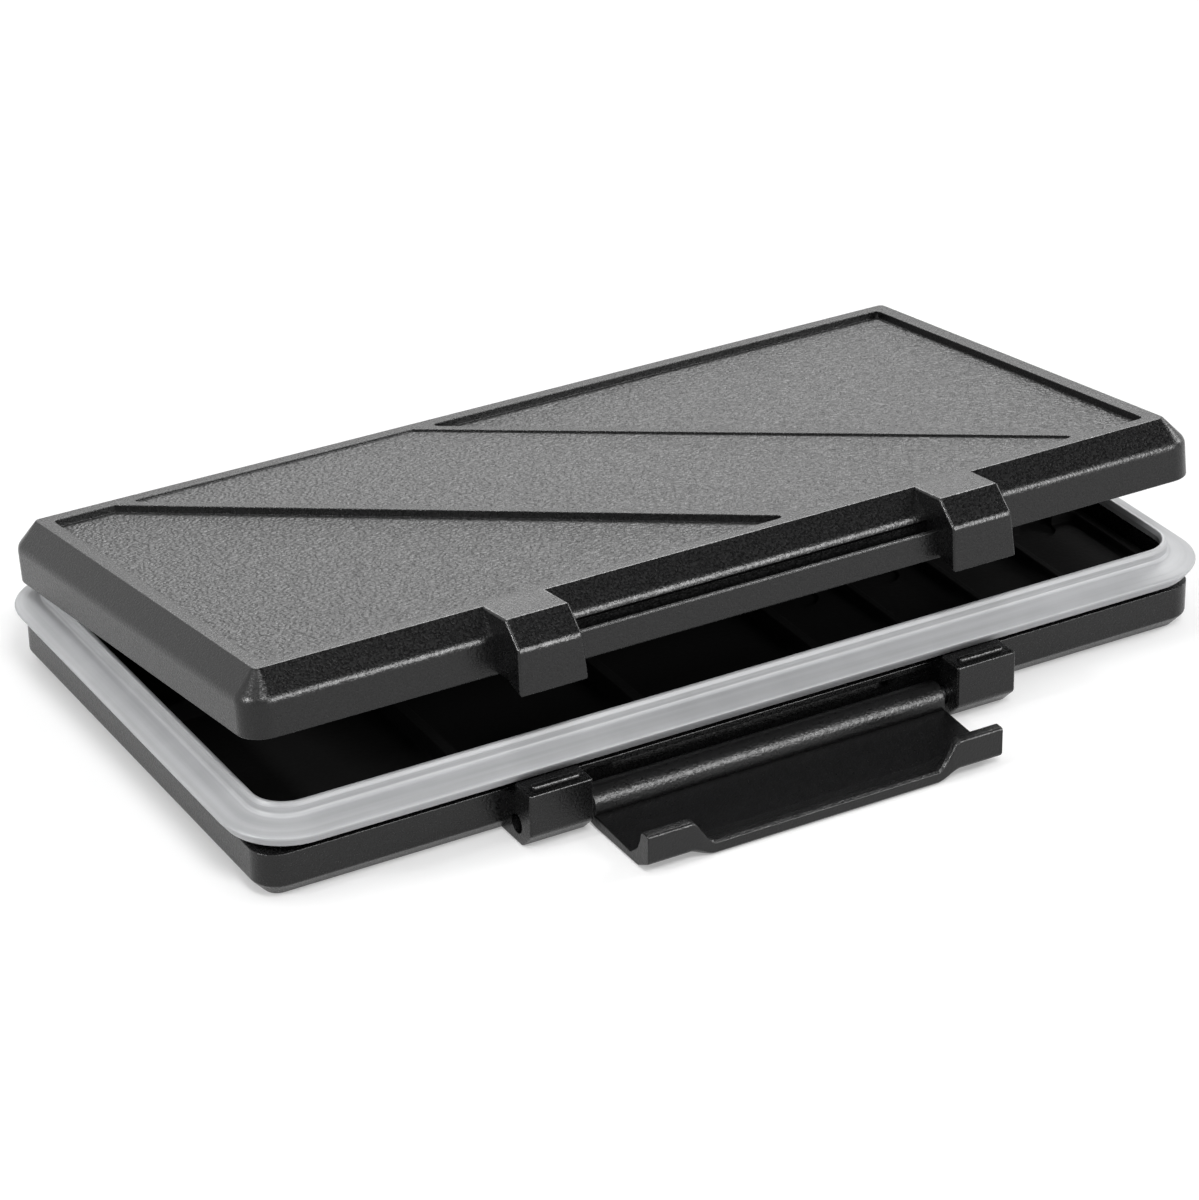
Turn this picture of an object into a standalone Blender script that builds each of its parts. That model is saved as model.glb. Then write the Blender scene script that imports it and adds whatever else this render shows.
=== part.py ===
# Hard wallet for memory cards: a shallow case with a hinged lid, a seal and a latch with two hooks.
# X runs along the case, the latch is in front at -Y, and the underside lies at height zero.
# The lid is modelled shut and then turned ajar, and the latch lies open in front of the case.
import math

import bmesh
import bpy
from mathutils import Vector

# Cards set the size of the case: full-size cards in two rows, small cards beside them, and walls between
sd_pocket_width = 0.0244
sd_pocket_length = 0.0321
sd_pocket_depth = 0.0024
sd_column_wall = 0.0016
sd_row_wall = 0.0008
micro_pocket_width = 0.0114
micro_pocket_length = 0.0154
micro_pocket_depth = 0.0014
micro_column_wall = 0.001
zone_wall = 0.0014
sd_columns = 3
sd_rows = 2
micro_columns = 4
micro_rows = 3
pocket_corner = 0.001
sd_well_radius = 0.005
sd_well_deeper = 0.0005
micro_well_radius = 0.0026
micro_well_deeper = 0.0003

# Trays that hold the pockets: the walls around them, the base tray's deck height and the lid tray's thickness
tray_end_wall = 0.00145
tray_side_wall = 0.00105
base_tray_top = 0.0083
lid_tray_thickness = 0.0035

# Corner radii, taken back to the wall plane, of the outer wall, of the seal's ring and of the lid's cavity
wall_corner = 0.0035
seal_corner = 0.0065
cavity_corner = 0.0045
least_corner = 0.0003

# Clearances between pieces, and how far a cut runs past what it cuts
seat_gap = 0.0003
turning_gap = 0.0003
cut_overrun = 0.001
joint_overlap = 0.0004

# Base: floor, wall, chamfered underside and the upright rim that carries the seal
base_floor = 0.0016
base_wall_top = 0.00635
base_chamfer_height = 0.002
base_chamfer_inset = 0.0018
rim_inset = 0.00175
rim_wall = 0.0008
rim_rise = 0.00365
wall_edge_round = 0.0004
rim_edge_round = 0.00025

# Seal: a ring over the rim, with a bead on top and a brim that slants out past the wall. The brim's outer
# face runs from its edge down and in to its heel
bead_height = 0.0015
bead_reach_in = 0.0007
bead_valley_drop = 0.00095
skirt_inset = 0.0005
skirt_drop = 0.00175
lip_reach = 0.0024
lip_edge_drop = 0.00255
lip_heel_reach = 0.0013
lip_heel_rise = 0.00105
seal_foot_width = 0.001
lip_underside_rise = 0.0004

# Lid: skirt, side wall, chamfer and roof
lid_skirt_drop = 0.0012
lid_wall_height = 0.0048
lid_chamfer_height = 0.0031
lid_chamfer_inset = 0.00275
lid_skirt_wall = 0.00075
lid_cavity_step = 0.00045
lid_roof = 0.0015
bead_clearance = 0.00035
lid_edge_round = 0.0005

# Lid top: a level frame, two diagonal ribs, two deep panels and a shallow one between the ribs
frame_width = 0.00205
rib_middle = 0.02165
rib_width = 0.0014
deep_panel_depth = 0.001
shallow_panel_depth = 0.00035
panel_draft = 0.00025

# Catch: two lugs on the lid, two blocks on the base, and the bar and nose that the hooks close over
catch_half_width = 0.0262
lug_width = 0.0087
lug_reach = 0.0059
lug_top_reach = 0.0031
lug_chamfer_drop = 0.0032
lug_overhang = 0.0011
lug_underside_rise = 0.0013
lug_seat_reach = 0.0024
lug_depth_in_lid = 0.0034
bar_reach = 0.0024
bar_thickness = 0.00095
bar_rise = 0.0036
bar_drop = 0.0001
bar_web = 0.0014
nose_undercut = 0.0005
nose_height = 0.0005
block_rise_past_heel = 0.00035
block_chamfer_height = 0.0024
block_chamfer_reach = 0.0024
block_step_gap = 0.0007
block_step_top = 0.0061
block_depth_in_wall = 0.0022

# Latch: barrel, plate, and the hooks at both ends of its free edge
latch_side_gap = 0.0009
latch_floor_gap = 0.00015
latch_pin_radius = 0.001
latch_pin_recess = 0.001
barrel_radius = 0.0022
barrel_wall_gap = 0.0002
barrel_room = 0.0005
barrel_room_margin = 0.0008
plate_outer = 0.0025
plate_inner_at_barrel = 0.00093
plate_inner_at_hook = 0.0014
plate_start = 0.0028
hook_clearance = 0.00035
hook_corner_drop = 0.00215
hook_bend_drop = 0.0006
hook_bend_in = 0.00125
hook_throat_in = 0.00115
hook_tip_reach = 0.0003
hook_tip_rise = 0.0005
hook_lip = 0.0018
hook_outer_in = 0.00115
hook_chamfer = 0.0026
plain_edge_step = 0.0007
plain_edge_round = 0.0003
hook_width = 0.005
hook_blend = 0.0043

# Rear hinges: knuckles on the base, an arm on the lid between them, and a pin in each
hinge_spacing = 0.076
hinge_rise = 0.00125
knuckle_radius = 0.0018
hinge_pin_radius = 0.00085
knuckle_width = 0.004
arm_width = 0.008
hinge_web_drop = 0.0034
hinge_web_outer_drop = 0.001
arm_shoulder = 0.0022
arm_top_drop = 0.0008
arm_seat_rise = 0.0003
hinge_pin_recess = 0.0003

# Opening angle of the lid in the photographed pose
lid_ajar = math.radians(8.0)

# Fineness of curves, and the most of each straight side that a rounding may take
corner_steps = 6
round_steps = 2
bend_share = 0.4
pin_sides = 24
well_sides = 16
barrel_steps = 14
blend_steps = 6
pocket_corner_steps = 3
smooth_angle = math.radians(35)

# Heights and places that follow from the sizes above
sd_zone_width = sd_columns * (sd_pocket_width + sd_column_wall) - sd_column_wall
sd_zone_length = sd_rows * (sd_pocket_length + sd_row_wall) - sd_row_wall
micro_zone_width = micro_columns * (micro_pocket_width + micro_column_wall) - micro_column_wall
pocket_field_width = sd_zone_width + zone_wall + micro_zone_width
rim_top = base_wall_top + rim_rise
rim_inner = rim_inset + rim_wall
case_length = pocket_field_width + 2 * (tray_end_wall + seat_gap + rim_inner)
case_depth = sd_zone_length + 2 * (tray_side_wall + seat_gap + rim_inner)
lid_side_wall = rim_inner + lid_cavity_step
seal_bottom = base_wall_top + seat_gap
seal_seat = rim_top + seat_gap
bead_top = seal_seat + bead_height
lip_edge = bead_top - lip_edge_drop
lip_heel = seal_bottom + lip_heel_rise
block_top = lip_heel + block_rise_past_heel
lid_wall_bottom = bead_top - lid_skirt_drop
lid_wall_top = lid_wall_bottom + lid_wall_height
lid_top = lid_wall_top + lid_chamfer_height
bead_room_top = bead_top + bead_clearance
lid_ceiling = lid_top - deep_panel_depth - lid_roof
front_wall = -case_depth / 2
rear_wall = case_depth / 2
latch_pin_reach = barrel_radius + barrel_wall_gap
latch_pin_height = plate_outer + latch_floor_gap
latch_axis = Vector((0, front_wall - latch_pin_reach, latch_pin_height))
hinge_axis = Vector((0, rear_wall + lip_reach + turning_gap + knuckle_radius, base_wall_top + hinge_rise))
latch_bore_radius = latch_pin_radius + turning_gap
hinge_bore_radius = hinge_pin_radius + turning_gap
lug_outer = catch_half_width + lug_width
lug_front = front_wall - lug_reach
latch_half_width = catch_half_width - latch_side_gap


def clear_scene():
    for existing in list(bpy.data.objects):
        bpy.data.objects.remove(existing)


def plastic(name, colour, roughness, metallic=0.0):
    material = bpy.data.materials.new(name)
    material.use_nodes = True
    shader = material.node_tree.nodes["Principled BSDF"]
    shader.inputs["Base Color"].default_value = (*colour, 1)
    shader.inputs["Roughness"].default_value = roughness
    shader.inputs["Metallic"].default_value = metallic
    return material


def axis_empty(name, place, turn=0.0):
    empty = bpy.data.objects.new(name, None)
    empty.location = place
    empty.rotation_euler = (turn, 0, 0)
    bpy.context.scene.collection.objects.link(empty)
    return empty


def add_object(name, shape, material, origin):
    # The mesh is drawn in the case's own frame and then shifted, so that its origin lies on the origin given
    bmesh.ops.translate(shape, verts=shape.verts, vec=-origin)
    bmesh.ops.recalc_face_normals(shape, faces=shape.faces)
    mesh = bpy.data.meshes.new(name)
    shape.to_mesh(mesh)
    shape.free()
    mesh.shade_smooth()
    mesh.set_sharp_from_angle(angle=smooth_angle)
    if material:
        mesh.materials.append(material)
    piece = bpy.data.objects.new(name, mesh)
    bpy.context.scene.collection.objects.link(piece)
    return piece


def place_piece(name, shape, material, origin=Vector()):
    piece = add_object(name, shape, material, origin)
    piece.location = origin
    return piece


def place_on(parent, name, shape, material, origin):
    piece = add_object(name, shape, material, origin)
    piece.parent = parent
    return piece


def combine(piece, name, shape, operation, origin=Vector()):
    # Adds a hidden helper with the piece's own placing, and a Boolean that joins or cuts it
    helper = add_object(name, shape, None, origin)
    helper.location = piece.location
    helper.parent = piece.parent
    helper.hide_render = True
    helper.display_type = "WIRE"
    modifier = piece.modifiers.new(name, "BOOLEAN")
    modifier.operation = operation
    modifier.solver = "EXACT"
    modifier.object = helper


def softened(outline, closed):
    # Each point is (place, rounding): a bend with a rounding becomes a short curve
    points = []
    count = len(outline)
    for index, (place, rounding) in enumerate(outline):
        place = Vector(place)
        at_end = not closed and index in (0, count - 1)
        if at_end or not rounding:
            points.append(place)
            continue
        before = Vector(outline[index - 1][0]) - place
        after = Vector(outline[(index + 1) % count][0]) - place
        reach = min(rounding, bend_share * before.length, bend_share * after.length)
        start = place + before.normalized() * reach
        end = place + after.normalized() * reach
        for step in range(round_steps + 1):
            share = step / round_steps
            points.append(start.lerp(place, share).lerp(place.lerp(end, share), share))
    return points


def ring(inset, height, corner):
    # A level outline that runs inside the wall plane by the inset
    radius = max(corner - inset, least_corner)
    half_x = case_length / 2 - inset - radius
    half_y = case_depth / 2 - inset - radius
    points = []
    for quarter, (side_x, side_y) in enumerate(((1, 1), (-1, 1), (-1, -1), (1, -1))):
        for step in range(corner_steps + 1):
            angle = (quarter + step / corner_steps) * math.pi / 2
            x = side_x * half_x + radius * math.cos(angle)
            y = side_y * half_y + radius * math.sin(angle)
            points.append(Vector((x, y, height)))
    return points


def loft(rows, closed=False):
    # Faces between one row of points and the next, with caps at both ends unless the rows close on themselves
    shape = bmesh.new()
    rings = [[shape.verts.new(point) for point in row] for row in rows]
    followers = rings[1:] + rings[:1] if closed else rings[1:]
    for low, high in zip(rings, followers):
        for index in range(len(low)):
            after = (index + 1) % len(low)
            shape.faces.new((low[index], low[after], high[after], high[index]))
    if not closed:
        shape.faces.new(rings[0])
        shape.faces.new(rings[-1])
    return shape


def swept_ring(profile, closed=False):
    return loft([ring(*point) for point in softened(profile, closed)], closed)


def merged(shapes):
    # Puts separate shapes into one mesh
    whole = bmesh.new()
    for shape in shapes:
        part = bpy.data.meshes.new("part")
        shape.to_mesh(part)
        shape.free()
        whole.from_mesh(part)
        bpy.data.meshes.remove(part)
    return whole


def side_prism(outline, low_x, high_x):
    # An outline of (y, z) points carried along X
    return loft([[Vector((x, y, z)) for y, z in outline] for x in (low_x, high_x)])


def side_bar(centre, radius, low_x, high_x):
    outline = []
    for step in range(pin_sides):
        angle = 2 * math.pi * step / pin_sides
        outline.append((centre.y + radius * math.cos(angle), centre.z + radius * math.sin(angle)))
    return side_prism(outline, low_x, high_x)


def mirrored_prisms(outline, low_x, high_x):
    return [side_prism(outline, low_x, high_x), side_prism(outline, -high_x, -low_x)]


def inset_outline(outline, distance):
    # Moves every side of a convex outline, drawn anticlockwise, inward by the distance
    moved = []
    for index, corner in enumerate(outline):
        before = Vector(corner) - Vector(outline[index - 1])
        after = Vector(outline[(index + 1) % len(outline)]) - Vector(corner)
        first = Vector((-before.y, before.x)).normalized()
        second = Vector((-after.y, after.x)).normalized()
        moved.append(Vector(corner) + (first + second) * distance / (1 + first.dot(second)))
    return moved


def level(outline, height):
    return [Vector((x, y, height)) for x, y in outline]


def base_profile():
    return [
        ((base_chamfer_inset + rim_inner, 0, seal_corner), 0),
        ((base_chamfer_inset, 0, wall_corner), wall_edge_round),
        ((0, base_chamfer_height, wall_corner), wall_edge_round),
        ((0, base_wall_top, wall_corner), wall_edge_round),
        ((rim_inset, base_wall_top, seal_corner), 0),
        ((rim_inset, rim_top, seal_corner), rim_edge_round),
        ((rim_inner, rim_top, seal_corner), rim_edge_round),
        ((rim_inner, base_floor, seal_corner), 0),
    ]


def block_outline():
    step_y = front_wall - lip_heel_reach - block_step_gap
    back_y = front_wall + block_depth_in_wall
    return [
        (back_y, 0),
        (lug_front + block_chamfer_reach, 0),
        (lug_front, block_chamfer_height),
        (lug_front, block_top),
        (step_y, block_top),
        (step_y, block_step_top),
        (back_y, block_step_top),
    ]


def hinge_web_outline():
    inner_y = rear_wall - joint_overlap
    outer_y = hinge_axis.y + knuckle_radius
    web_top = base_wall_top - seat_gap
    return [
        (inner_y, web_top - hinge_web_drop),
        (rear_wall, web_top - hinge_web_drop),
        (outer_y, hinge_axis.z - hinge_web_outer_drop),
        (outer_y, hinge_axis.z),
        (hinge_axis.y, hinge_axis.z),
        (hinge_axis.y - knuckle_radius * math.sqrt(0.5), web_top),
        (inner_y, web_top),
    ]


def knuckle_spans():
    # The base's knuckles stand on both sides of the lid's arm at each hinge
    near = arm_width / 2 + turning_gap
    spans = []
    for side in (-1, 1):
        middle = side * hinge_spacing / 2
        spans.append((middle - near - knuckle_width, middle - near))
        spans.append((middle + near, middle + near + knuckle_width))
    return spans


def make_base_shell(material):
    base = place_piece("base_shell", swept_ring(base_profile()), material)
    blocks = mirrored_prisms(block_outline(), catch_half_width, lug_outer)
    combine(base, "base_blocks", merged(blocks), "UNION")
    webs = [side_prism(hinge_web_outline(), low, high) for low, high in knuckle_spans()]
    combine(base, "base_hinge_webs", merged(webs), "UNION")
    knuckles = [side_bar(hinge_axis, knuckle_radius, low, high) for low, high in knuckle_spans()]
    combine(base, "base_knuckles", merged(knuckles), "UNION")
    room_back = front_wall + barrel_room
    room_front = front_wall - cut_overrun
    bottom = barrel_room_margin
    top = base_wall_top - barrel_room_margin
    room = [(room_front, bottom), (room_back, bottom), (room_back, top), (room_front, top)]
    room_shape = side_prism(room, -catch_half_width, catch_half_width)
    combine(base, "barrel_room_cutter", room_shape, "DIFFERENCE")
    ends = lug_outer + cut_overrun
    combine(base, "latch_bore", side_bar(latch_axis, latch_bore_radius, -ends, ends), "DIFFERENCE")
    ends = case_length / 2
    combine(base, "hinge_bore", side_bar(hinge_axis, hinge_bore_radius, -ends, ends), "DIFFERENCE")
    return base


def seal_profile():
    foot_outer = rim_inset - seat_gap - seal_foot_width
    inner_face = rim_inset - seat_gap
    bead_inner = rim_inset + bead_reach_in
    valley = bead_top - bead_valley_drop
    bead_middle = (valley + bead_top) / 2
    outline = [
        ((inner_face, seal_bottom), 0),
        ((foot_outer, seal_bottom), seat_gap),
        ((0, seal_bottom + lip_underside_rise), seat_gap),
        ((-lip_heel_reach, lip_heel), seat_gap),
        ((-lip_reach, lip_edge), seat_gap),
        ((-lip_heel_reach, lip_edge + lip_underside_rise), seat_gap),
        ((skirt_inset, bead_top - skirt_drop), seat_gap),
        ((2 * skirt_inset, valley - lip_underside_rise), seat_gap),
        ((inner_face - seat_gap / 2, valley), seat_gap),
        ((inner_face + seat_gap / 2, bead_middle + seat_gap / 2), seat_gap),
        ((rim_inset + seat_gap / 2, bead_top), seat_gap),
        ((bead_inner - seat_gap, bead_top), seat_gap),
        ((bead_inner, bead_middle), seat_gap),
        ((bead_inner - seat_gap / 2, seal_seat), 0),
        ((inner_face, seal_seat), 0),
    ]
    return [((inset, height, seal_corner), rounding) for (inset, height), rounding in outline]


def make_gasket_seal(material):
    return place_piece("gasket_seal", swept_ring(seal_profile(), closed=True), material)


def lid_profile():
    return [
        ((lid_chamfer_inset + frame_width / 2, lid_top, wall_corner), 0),
        ((lid_chamfer_inset, lid_top, wall_corner), lid_edge_round),
        ((0, lid_wall_top, wall_corner), lid_edge_round),
        ((0, lid_wall_bottom, wall_corner), lid_edge_round / 2),
        ((lid_skirt_wall, lid_wall_bottom, wall_corner), lid_edge_round / 4),
        ((lid_skirt_wall, bead_room_top, wall_corner), 0),
        ((lid_side_wall, bead_room_top, cavity_corner), 0),
        ((lid_side_wall, lid_ceiling, cavity_corner), 0),
    ]


def panel_outlines():
    # Each panel is a four-sided area of the frame, drawn anticlockwise and bounded by a diagonal rib
    frame_inset = lid_chamfer_inset + frame_width
    half_x = case_length / 2 - frame_inset
    half_y = case_depth / 2 - frame_inset
    rib_half = rib_width * math.sqrt(0.5)
    near = rib_middle - rib_half
    far = rib_middle + rib_half
    middle_right = [(half_y - near, -half_y), (half_y + near, -half_y)]
    middle = middle_right + [(-x, -y) for x, y in middle_right]
    front_left = [(-half_x, -half_y), (half_y - far, -half_y), (-far - half_y, half_y), (-half_x, half_y)]
    back_right = [(-x, -y) for x, y in front_left]
    return middle, front_left, back_right


def panel_cutter(outline, depth):
    rows = [
        level(inset_outline(outline, panel_draft), lid_top - depth),
        level(outline, lid_top),
        level(outline, lid_top + cut_overrun),
    ]
    return loft(rows)


def lug_outline():
    return [
        (front_wall + lug_depth_in_lid, lid_top),
        (front_wall - lug_top_reach, lid_top),
        (lug_front, lid_top - lug_chamfer_drop),
        (lug_front, lid_wall_bottom - lug_overhang),
        (front_wall - lug_seat_reach, lid_wall_bottom - lug_overhang + lug_underside_rise),
        (front_wall + lid_skirt_wall / 2, lid_wall_bottom - lug_overhang + lug_underside_rise),
        (front_wall + lid_skirt_wall / 2, lid_wall_top),
        (front_wall + lug_depth_in_lid, lid_top - joint_overlap),
    ]


def bar_outline():
    front = front_wall - bar_reach
    bottom = lid_wall_bottom - bar_drop
    back = front_wall + lid_skirt_wall / 2
    return [
        (front, bottom),
        (front, bottom + bar_rise),
        (front + bar_thickness, bottom + bar_rise),
        (front + bar_thickness, bottom + bar_web),
        (back, bottom + bar_web),
        (back, bottom),
    ]


def nose_outline():
    nose_bottom = lid_wall_top - nose_height
    room_bottom = lid_wall_bottom - bar_drop + bar_web
    return [
        (front_wall - cut_overrun, room_bottom),
        (front_wall + nose_undercut, room_bottom),
        (front_wall + nose_undercut, nose_bottom - nose_undercut),
        (front_wall, nose_bottom),
        (front_wall - cut_overrun, nose_bottom),
    ]


def arm_outline():
    left = hinge_axis.y - knuckle_radius
    right = hinge_axis.y + knuckle_radius
    seat_z = lid_wall_bottom + arm_seat_rise
    seat_y = rear_wall - lid_skirt_wall / 2
    arm_top = lid_wall_top - arm_top_drop
    outline = []
    for step in range(pin_sides // 2 + 1):
        angle = math.pi * (1 + 2 * step / pin_sides)
        y = hinge_axis.y + knuckle_radius * math.cos(angle)
        outline.append((y, hinge_axis.z + knuckle_radius * math.sin(angle)))
    outline += [
        (right, hinge_axis.z + arm_shoulder),
        (rear_wall, arm_top),
        (seat_y, arm_top),
        (seat_y, seat_z),
        (left, seat_z),
    ]
    return outline


def make_lid_shell(lid_empty, material):
    lid = place_on(lid_empty, "lid_shell", swept_ring(lid_profile()), material, hinge_axis)
    middle, front_left, back_right = panel_outlines()
    lugs = mirrored_prisms(lug_outline(), catch_half_width, lug_outer)
    combine(lid, "lid_lugs", merged(lugs), "UNION", hinge_axis)
    bar_end = catch_half_width + joint_overlap
    combine(lid, "lid_bar", side_prism(bar_outline(), -bar_end, bar_end), "UNION", hinge_axis)
    middles = (-hinge_spacing / 2, hinge_spacing / 2)
    arms = [side_prism(arm_outline(), x - arm_width / 2, x + arm_width / 2) for x in middles]
    combine(lid, "lid_arms", merged(arms), "UNION", hinge_axis)
    nose = side_prism(nose_outline(), -catch_half_width, catch_half_width)
    combine(lid, "nose_cutter", nose, "DIFFERENCE", hinge_axis)
    panels = [
        panel_cutter(middle, shallow_panel_depth),
        panel_cutter(front_left, deep_panel_depth),
        panel_cutter(back_right, deep_panel_depth),
    ]
    combine(lid, "panel_cutters", merged(panels), "DIFFERENCE", hinge_axis)
    ends = case_length / 2
    combine(lid, "arm_bore", side_bar(hinge_axis, hinge_bore_radius, -ends, ends), "DIFFERENCE", hinge_axis)
    return lid


def latch_edges():
    # The free edge where it hooks over the lid's nose, and where it is plain, both drawn as when shut:
    # (towards the case, up), measured from the pin
    nose_in = latch_pin_reach
    nose_up = lid_wall_top - latch_pin_height
    top = nose_up + hook_clearance + hook_lip
    throat = nose_up + hook_clearance
    corner = nose_up - hook_corner_drop
    hooked = [
        (-plate_inner_at_hook, corner),
        (hook_bend_in - plate_inner_at_hook, nose_up - hook_bend_drop),
        (nose_in - hook_throat_in, nose_up + hook_clearance / 3),
        (nose_in, throat),
        (nose_in + hook_tip_reach, throat + hook_tip_rise),
        (nose_in, top),
        (-hook_outer_in, top),
        (-plate_outer, top - hook_chamfer),
    ]
    edge_in = plate_inner_at_hook - plain_edge_step
    edge_top = top - plain_edge_round
    plain = [
        (-plate_inner_at_hook, corner + plain_edge_step),
        (-(plate_inner_at_hook + edge_in) / 2, top - hook_lip),
        (-edge_in, top - hook_lip + plain_edge_step),
        (-edge_in, (top + edge_top) / 2 - plain_edge_step),
        (-edge_in, edge_top),
        (-edge_in - plain_edge_round, top),
        (-plate_outer + plain_edge_round, top),
        (-plate_outer, edge_top),
    ]
    return hooked, plain


def latch_section(x, hook_share):
    # The latch's outline at one place along X, opened out in front of the case
    hooked, plain = latch_edges()
    outline = []
    start_angle = math.asin(plate_inner_at_barrel / barrel_radius) + math.pi
    for step in range(barrel_steps + 1):
        share = step / barrel_steps
        angle = -math.pi / 2 + share * (start_angle + math.pi / 2)
        outline.append((barrel_radius * math.cos(angle), barrel_radius * math.sin(angle)))
    outline.append((-plate_start, -plate_inner_at_barrel))
    for (hook_in, hook_up), (plain_in, plain_up) in zip(hooked, plain):
        toward = hook_share * hook_in + (1 - hook_share) * plain_in
        up = hook_share * hook_up + (1 - hook_share) * plain_up
        outline.append((-up, toward))
    outline.append((-barrel_radius, -plate_outer))
    return [Vector((x, latch_axis.y + y, latch_axis.z + z)) for y, z in outline]


def latch_stations():
    # Places along X from one end to the other, each with its share of hook
    right_half = []
    blend_start = latch_half_width - hook_width - hook_blend
    for step in range(blend_steps + 1):
        share = step / blend_steps
        right_half.append((blend_start + share * hook_blend, share * share * (3 - 2 * share)))
    right_half.append((latch_half_width, 1))
    left_half = [(-x, hook_share) for x, hook_share in reversed(right_half)]
    return left_half + right_half


def make_latch(material):
    shape = loft([latch_section(x, hook_share) for x, hook_share in latch_stations()])
    latch = place_piece("latch", shape, material, latch_axis)
    ends = latch_half_width + cut_overrun
    bore = side_bar(latch_axis, latch_bore_radius, -ends, ends)
    combine(latch, "barrel_bore", bore, "DIFFERENCE", latch_axis)
    return latch


def make_pins(material):
    end = lug_outer - latch_pin_recess
    place_piece("latch_pin", side_bar(latch_axis, latch_pin_radius, -end, end), material, latch_axis)
    half = arm_width / 2 + turning_gap + knuckle_width - hinge_pin_recess
    for name, side in (("hinge_pin_left", -1), ("hinge_pin_right", 1)):
        middle = side * hinge_spacing / 2
        pin = side_bar(hinge_axis, hinge_pin_radius, middle - half, middle + half)
        place_piece(name, pin, material, hinge_axis)


def pocket_outline(middle_x, middle_y, width, length):
    points = []
    for quarter, (side_x, side_y) in enumerate(((1, 1), (-1, 1), (-1, -1), (1, -1))):
        for step in range(pocket_corner_steps + 1):
            angle = (quarter + step / pocket_corner_steps) * math.pi / 2
            x = middle_x + side_x * (width / 2 - pocket_corner) + pocket_corner * math.cos(angle)
            y = middle_y + side_y * (length / 2 - pocket_corner) + pocket_corner * math.sin(angle)
            points.append((x, y))
    return points


def well_outline(middle_x, middle_y, radius):
    angles = [2 * math.pi * step / well_sides for step in range(well_sides)]
    return [(middle_x + radius * math.cos(angle), middle_y + radius * math.sin(angle)) for angle in angles]


def pocket_layout():
    # Outlines of the pockets and finger wells, each with its depth, on a tray centred at the origin
    sd_pitch = sd_pocket_width + sd_column_wall
    micro_pitch = micro_pocket_width + micro_column_wall
    micro_row_pitch = sd_zone_length / micro_rows
    left = -pocket_field_width / 2
    micro_left = left + sd_zone_width + zone_wall
    pockets = []
    wells = []
    for column in range(sd_columns):
        x = left + sd_pocket_width / 2 + column * sd_pitch
        wells.append((well_outline(x, 0, sd_well_radius), sd_pocket_depth + sd_well_deeper))
        for row in range(sd_rows):
            y = (row - (sd_rows - 1) / 2) * (sd_pocket_length + sd_row_wall)
            pockets.append((pocket_outline(x, y, sd_pocket_width, sd_pocket_length), sd_pocket_depth))
    for column in range(micro_columns):
        x = micro_left + micro_pocket_width / 2 + column * micro_pitch
        for row in range(micro_rows):
            y = (row - (micro_rows - 1) / 2) * micro_row_pitch
            pocket = pocket_outline(x, y, micro_pocket_width, micro_pocket_length)
            pockets.append((pocket, micro_pocket_depth))
            well = well_outline(x, y + micro_pocket_length / 2, micro_well_radius)
            wells.append((well, micro_pocket_depth + micro_well_deeper))
    return pockets, wells


def tray_cutters(layout, deck, downward):
    # Prisms that start outside the deck and end at each pocket's floor
    direction = -1 if downward else 1
    start = deck - direction * cut_overrun
    shapes = []
    for outline, depth in layout:
        shapes.append(loft([level(outline, start), level(outline, deck + direction * depth)]))
    return merged(shapes)


def make_base_tray(material):
    inset = rim_inner + seat_gap
    rows = [ring(inset, base_floor + seat_gap, seal_corner), ring(inset, base_tray_top, seal_corner)]
    tray = place_piece("base_card_tray", loft(rows), material)
    pockets, wells = pocket_layout()
    combine(tray, "base_pockets", tray_cutters(pockets, base_tray_top, True), "DIFFERENCE")
    combine(tray, "base_wells", tray_cutters(wells, base_tray_top, True), "DIFFERENCE")
    return tray


def make_lid_tray(lid_empty, material):
    inset = lid_side_wall + seat_gap
    back = lid_ceiling - seat_gap
    deck = back - lid_tray_thickness
    rows = [ring(inset, deck, cavity_corner), ring(inset, back, cavity_corner)]
    tray = place_on(lid_empty, "lid_card_tray", loft(rows), material, hinge_axis)
    pockets, wells = pocket_layout()
    combine(tray, "lid_pockets", tray_cutters(pockets, deck, False), "DIFFERENCE", hinge_axis)
    combine(tray, "lid_wells", tray_cutters(wells, deck, False), "DIFFERENCE", hinge_axis)
    return tray


def build():
    clear_scene()
    black_shell = plastic("black_shell_plastic", (0.02, 0.021, 0.022), 0.45)
    black_latch = plastic("black_latch_plastic", (0.018, 0.018, 0.019), 0.4)
    grey_silicone = plastic("grey_silicone", (0.45, 0.46, 0.47), 0.55)
    black_rubber = plastic("black_tray_rubber", (0.008, 0.008, 0.008), 0.8)
    pin_steel = plastic("pin_steel", (0.55, 0.55, 0.56), 0.3, 1.0)
    lid_empty = axis_empty("lid_hinge_axis", hinge_axis, -lid_ajar)
    make_base_shell(black_shell)
    make_gasket_seal(grey_silicone)
    make_base_tray(black_rubber)
    make_lid_shell(lid_empty, black_shell)
    make_lid_tray(lid_empty, black_rubber)
    make_latch(black_latch)
    make_pins(pin_steel)


build()
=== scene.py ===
import math

import bmesh
import bpy
from mathutils import Matrix, Vector


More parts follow.
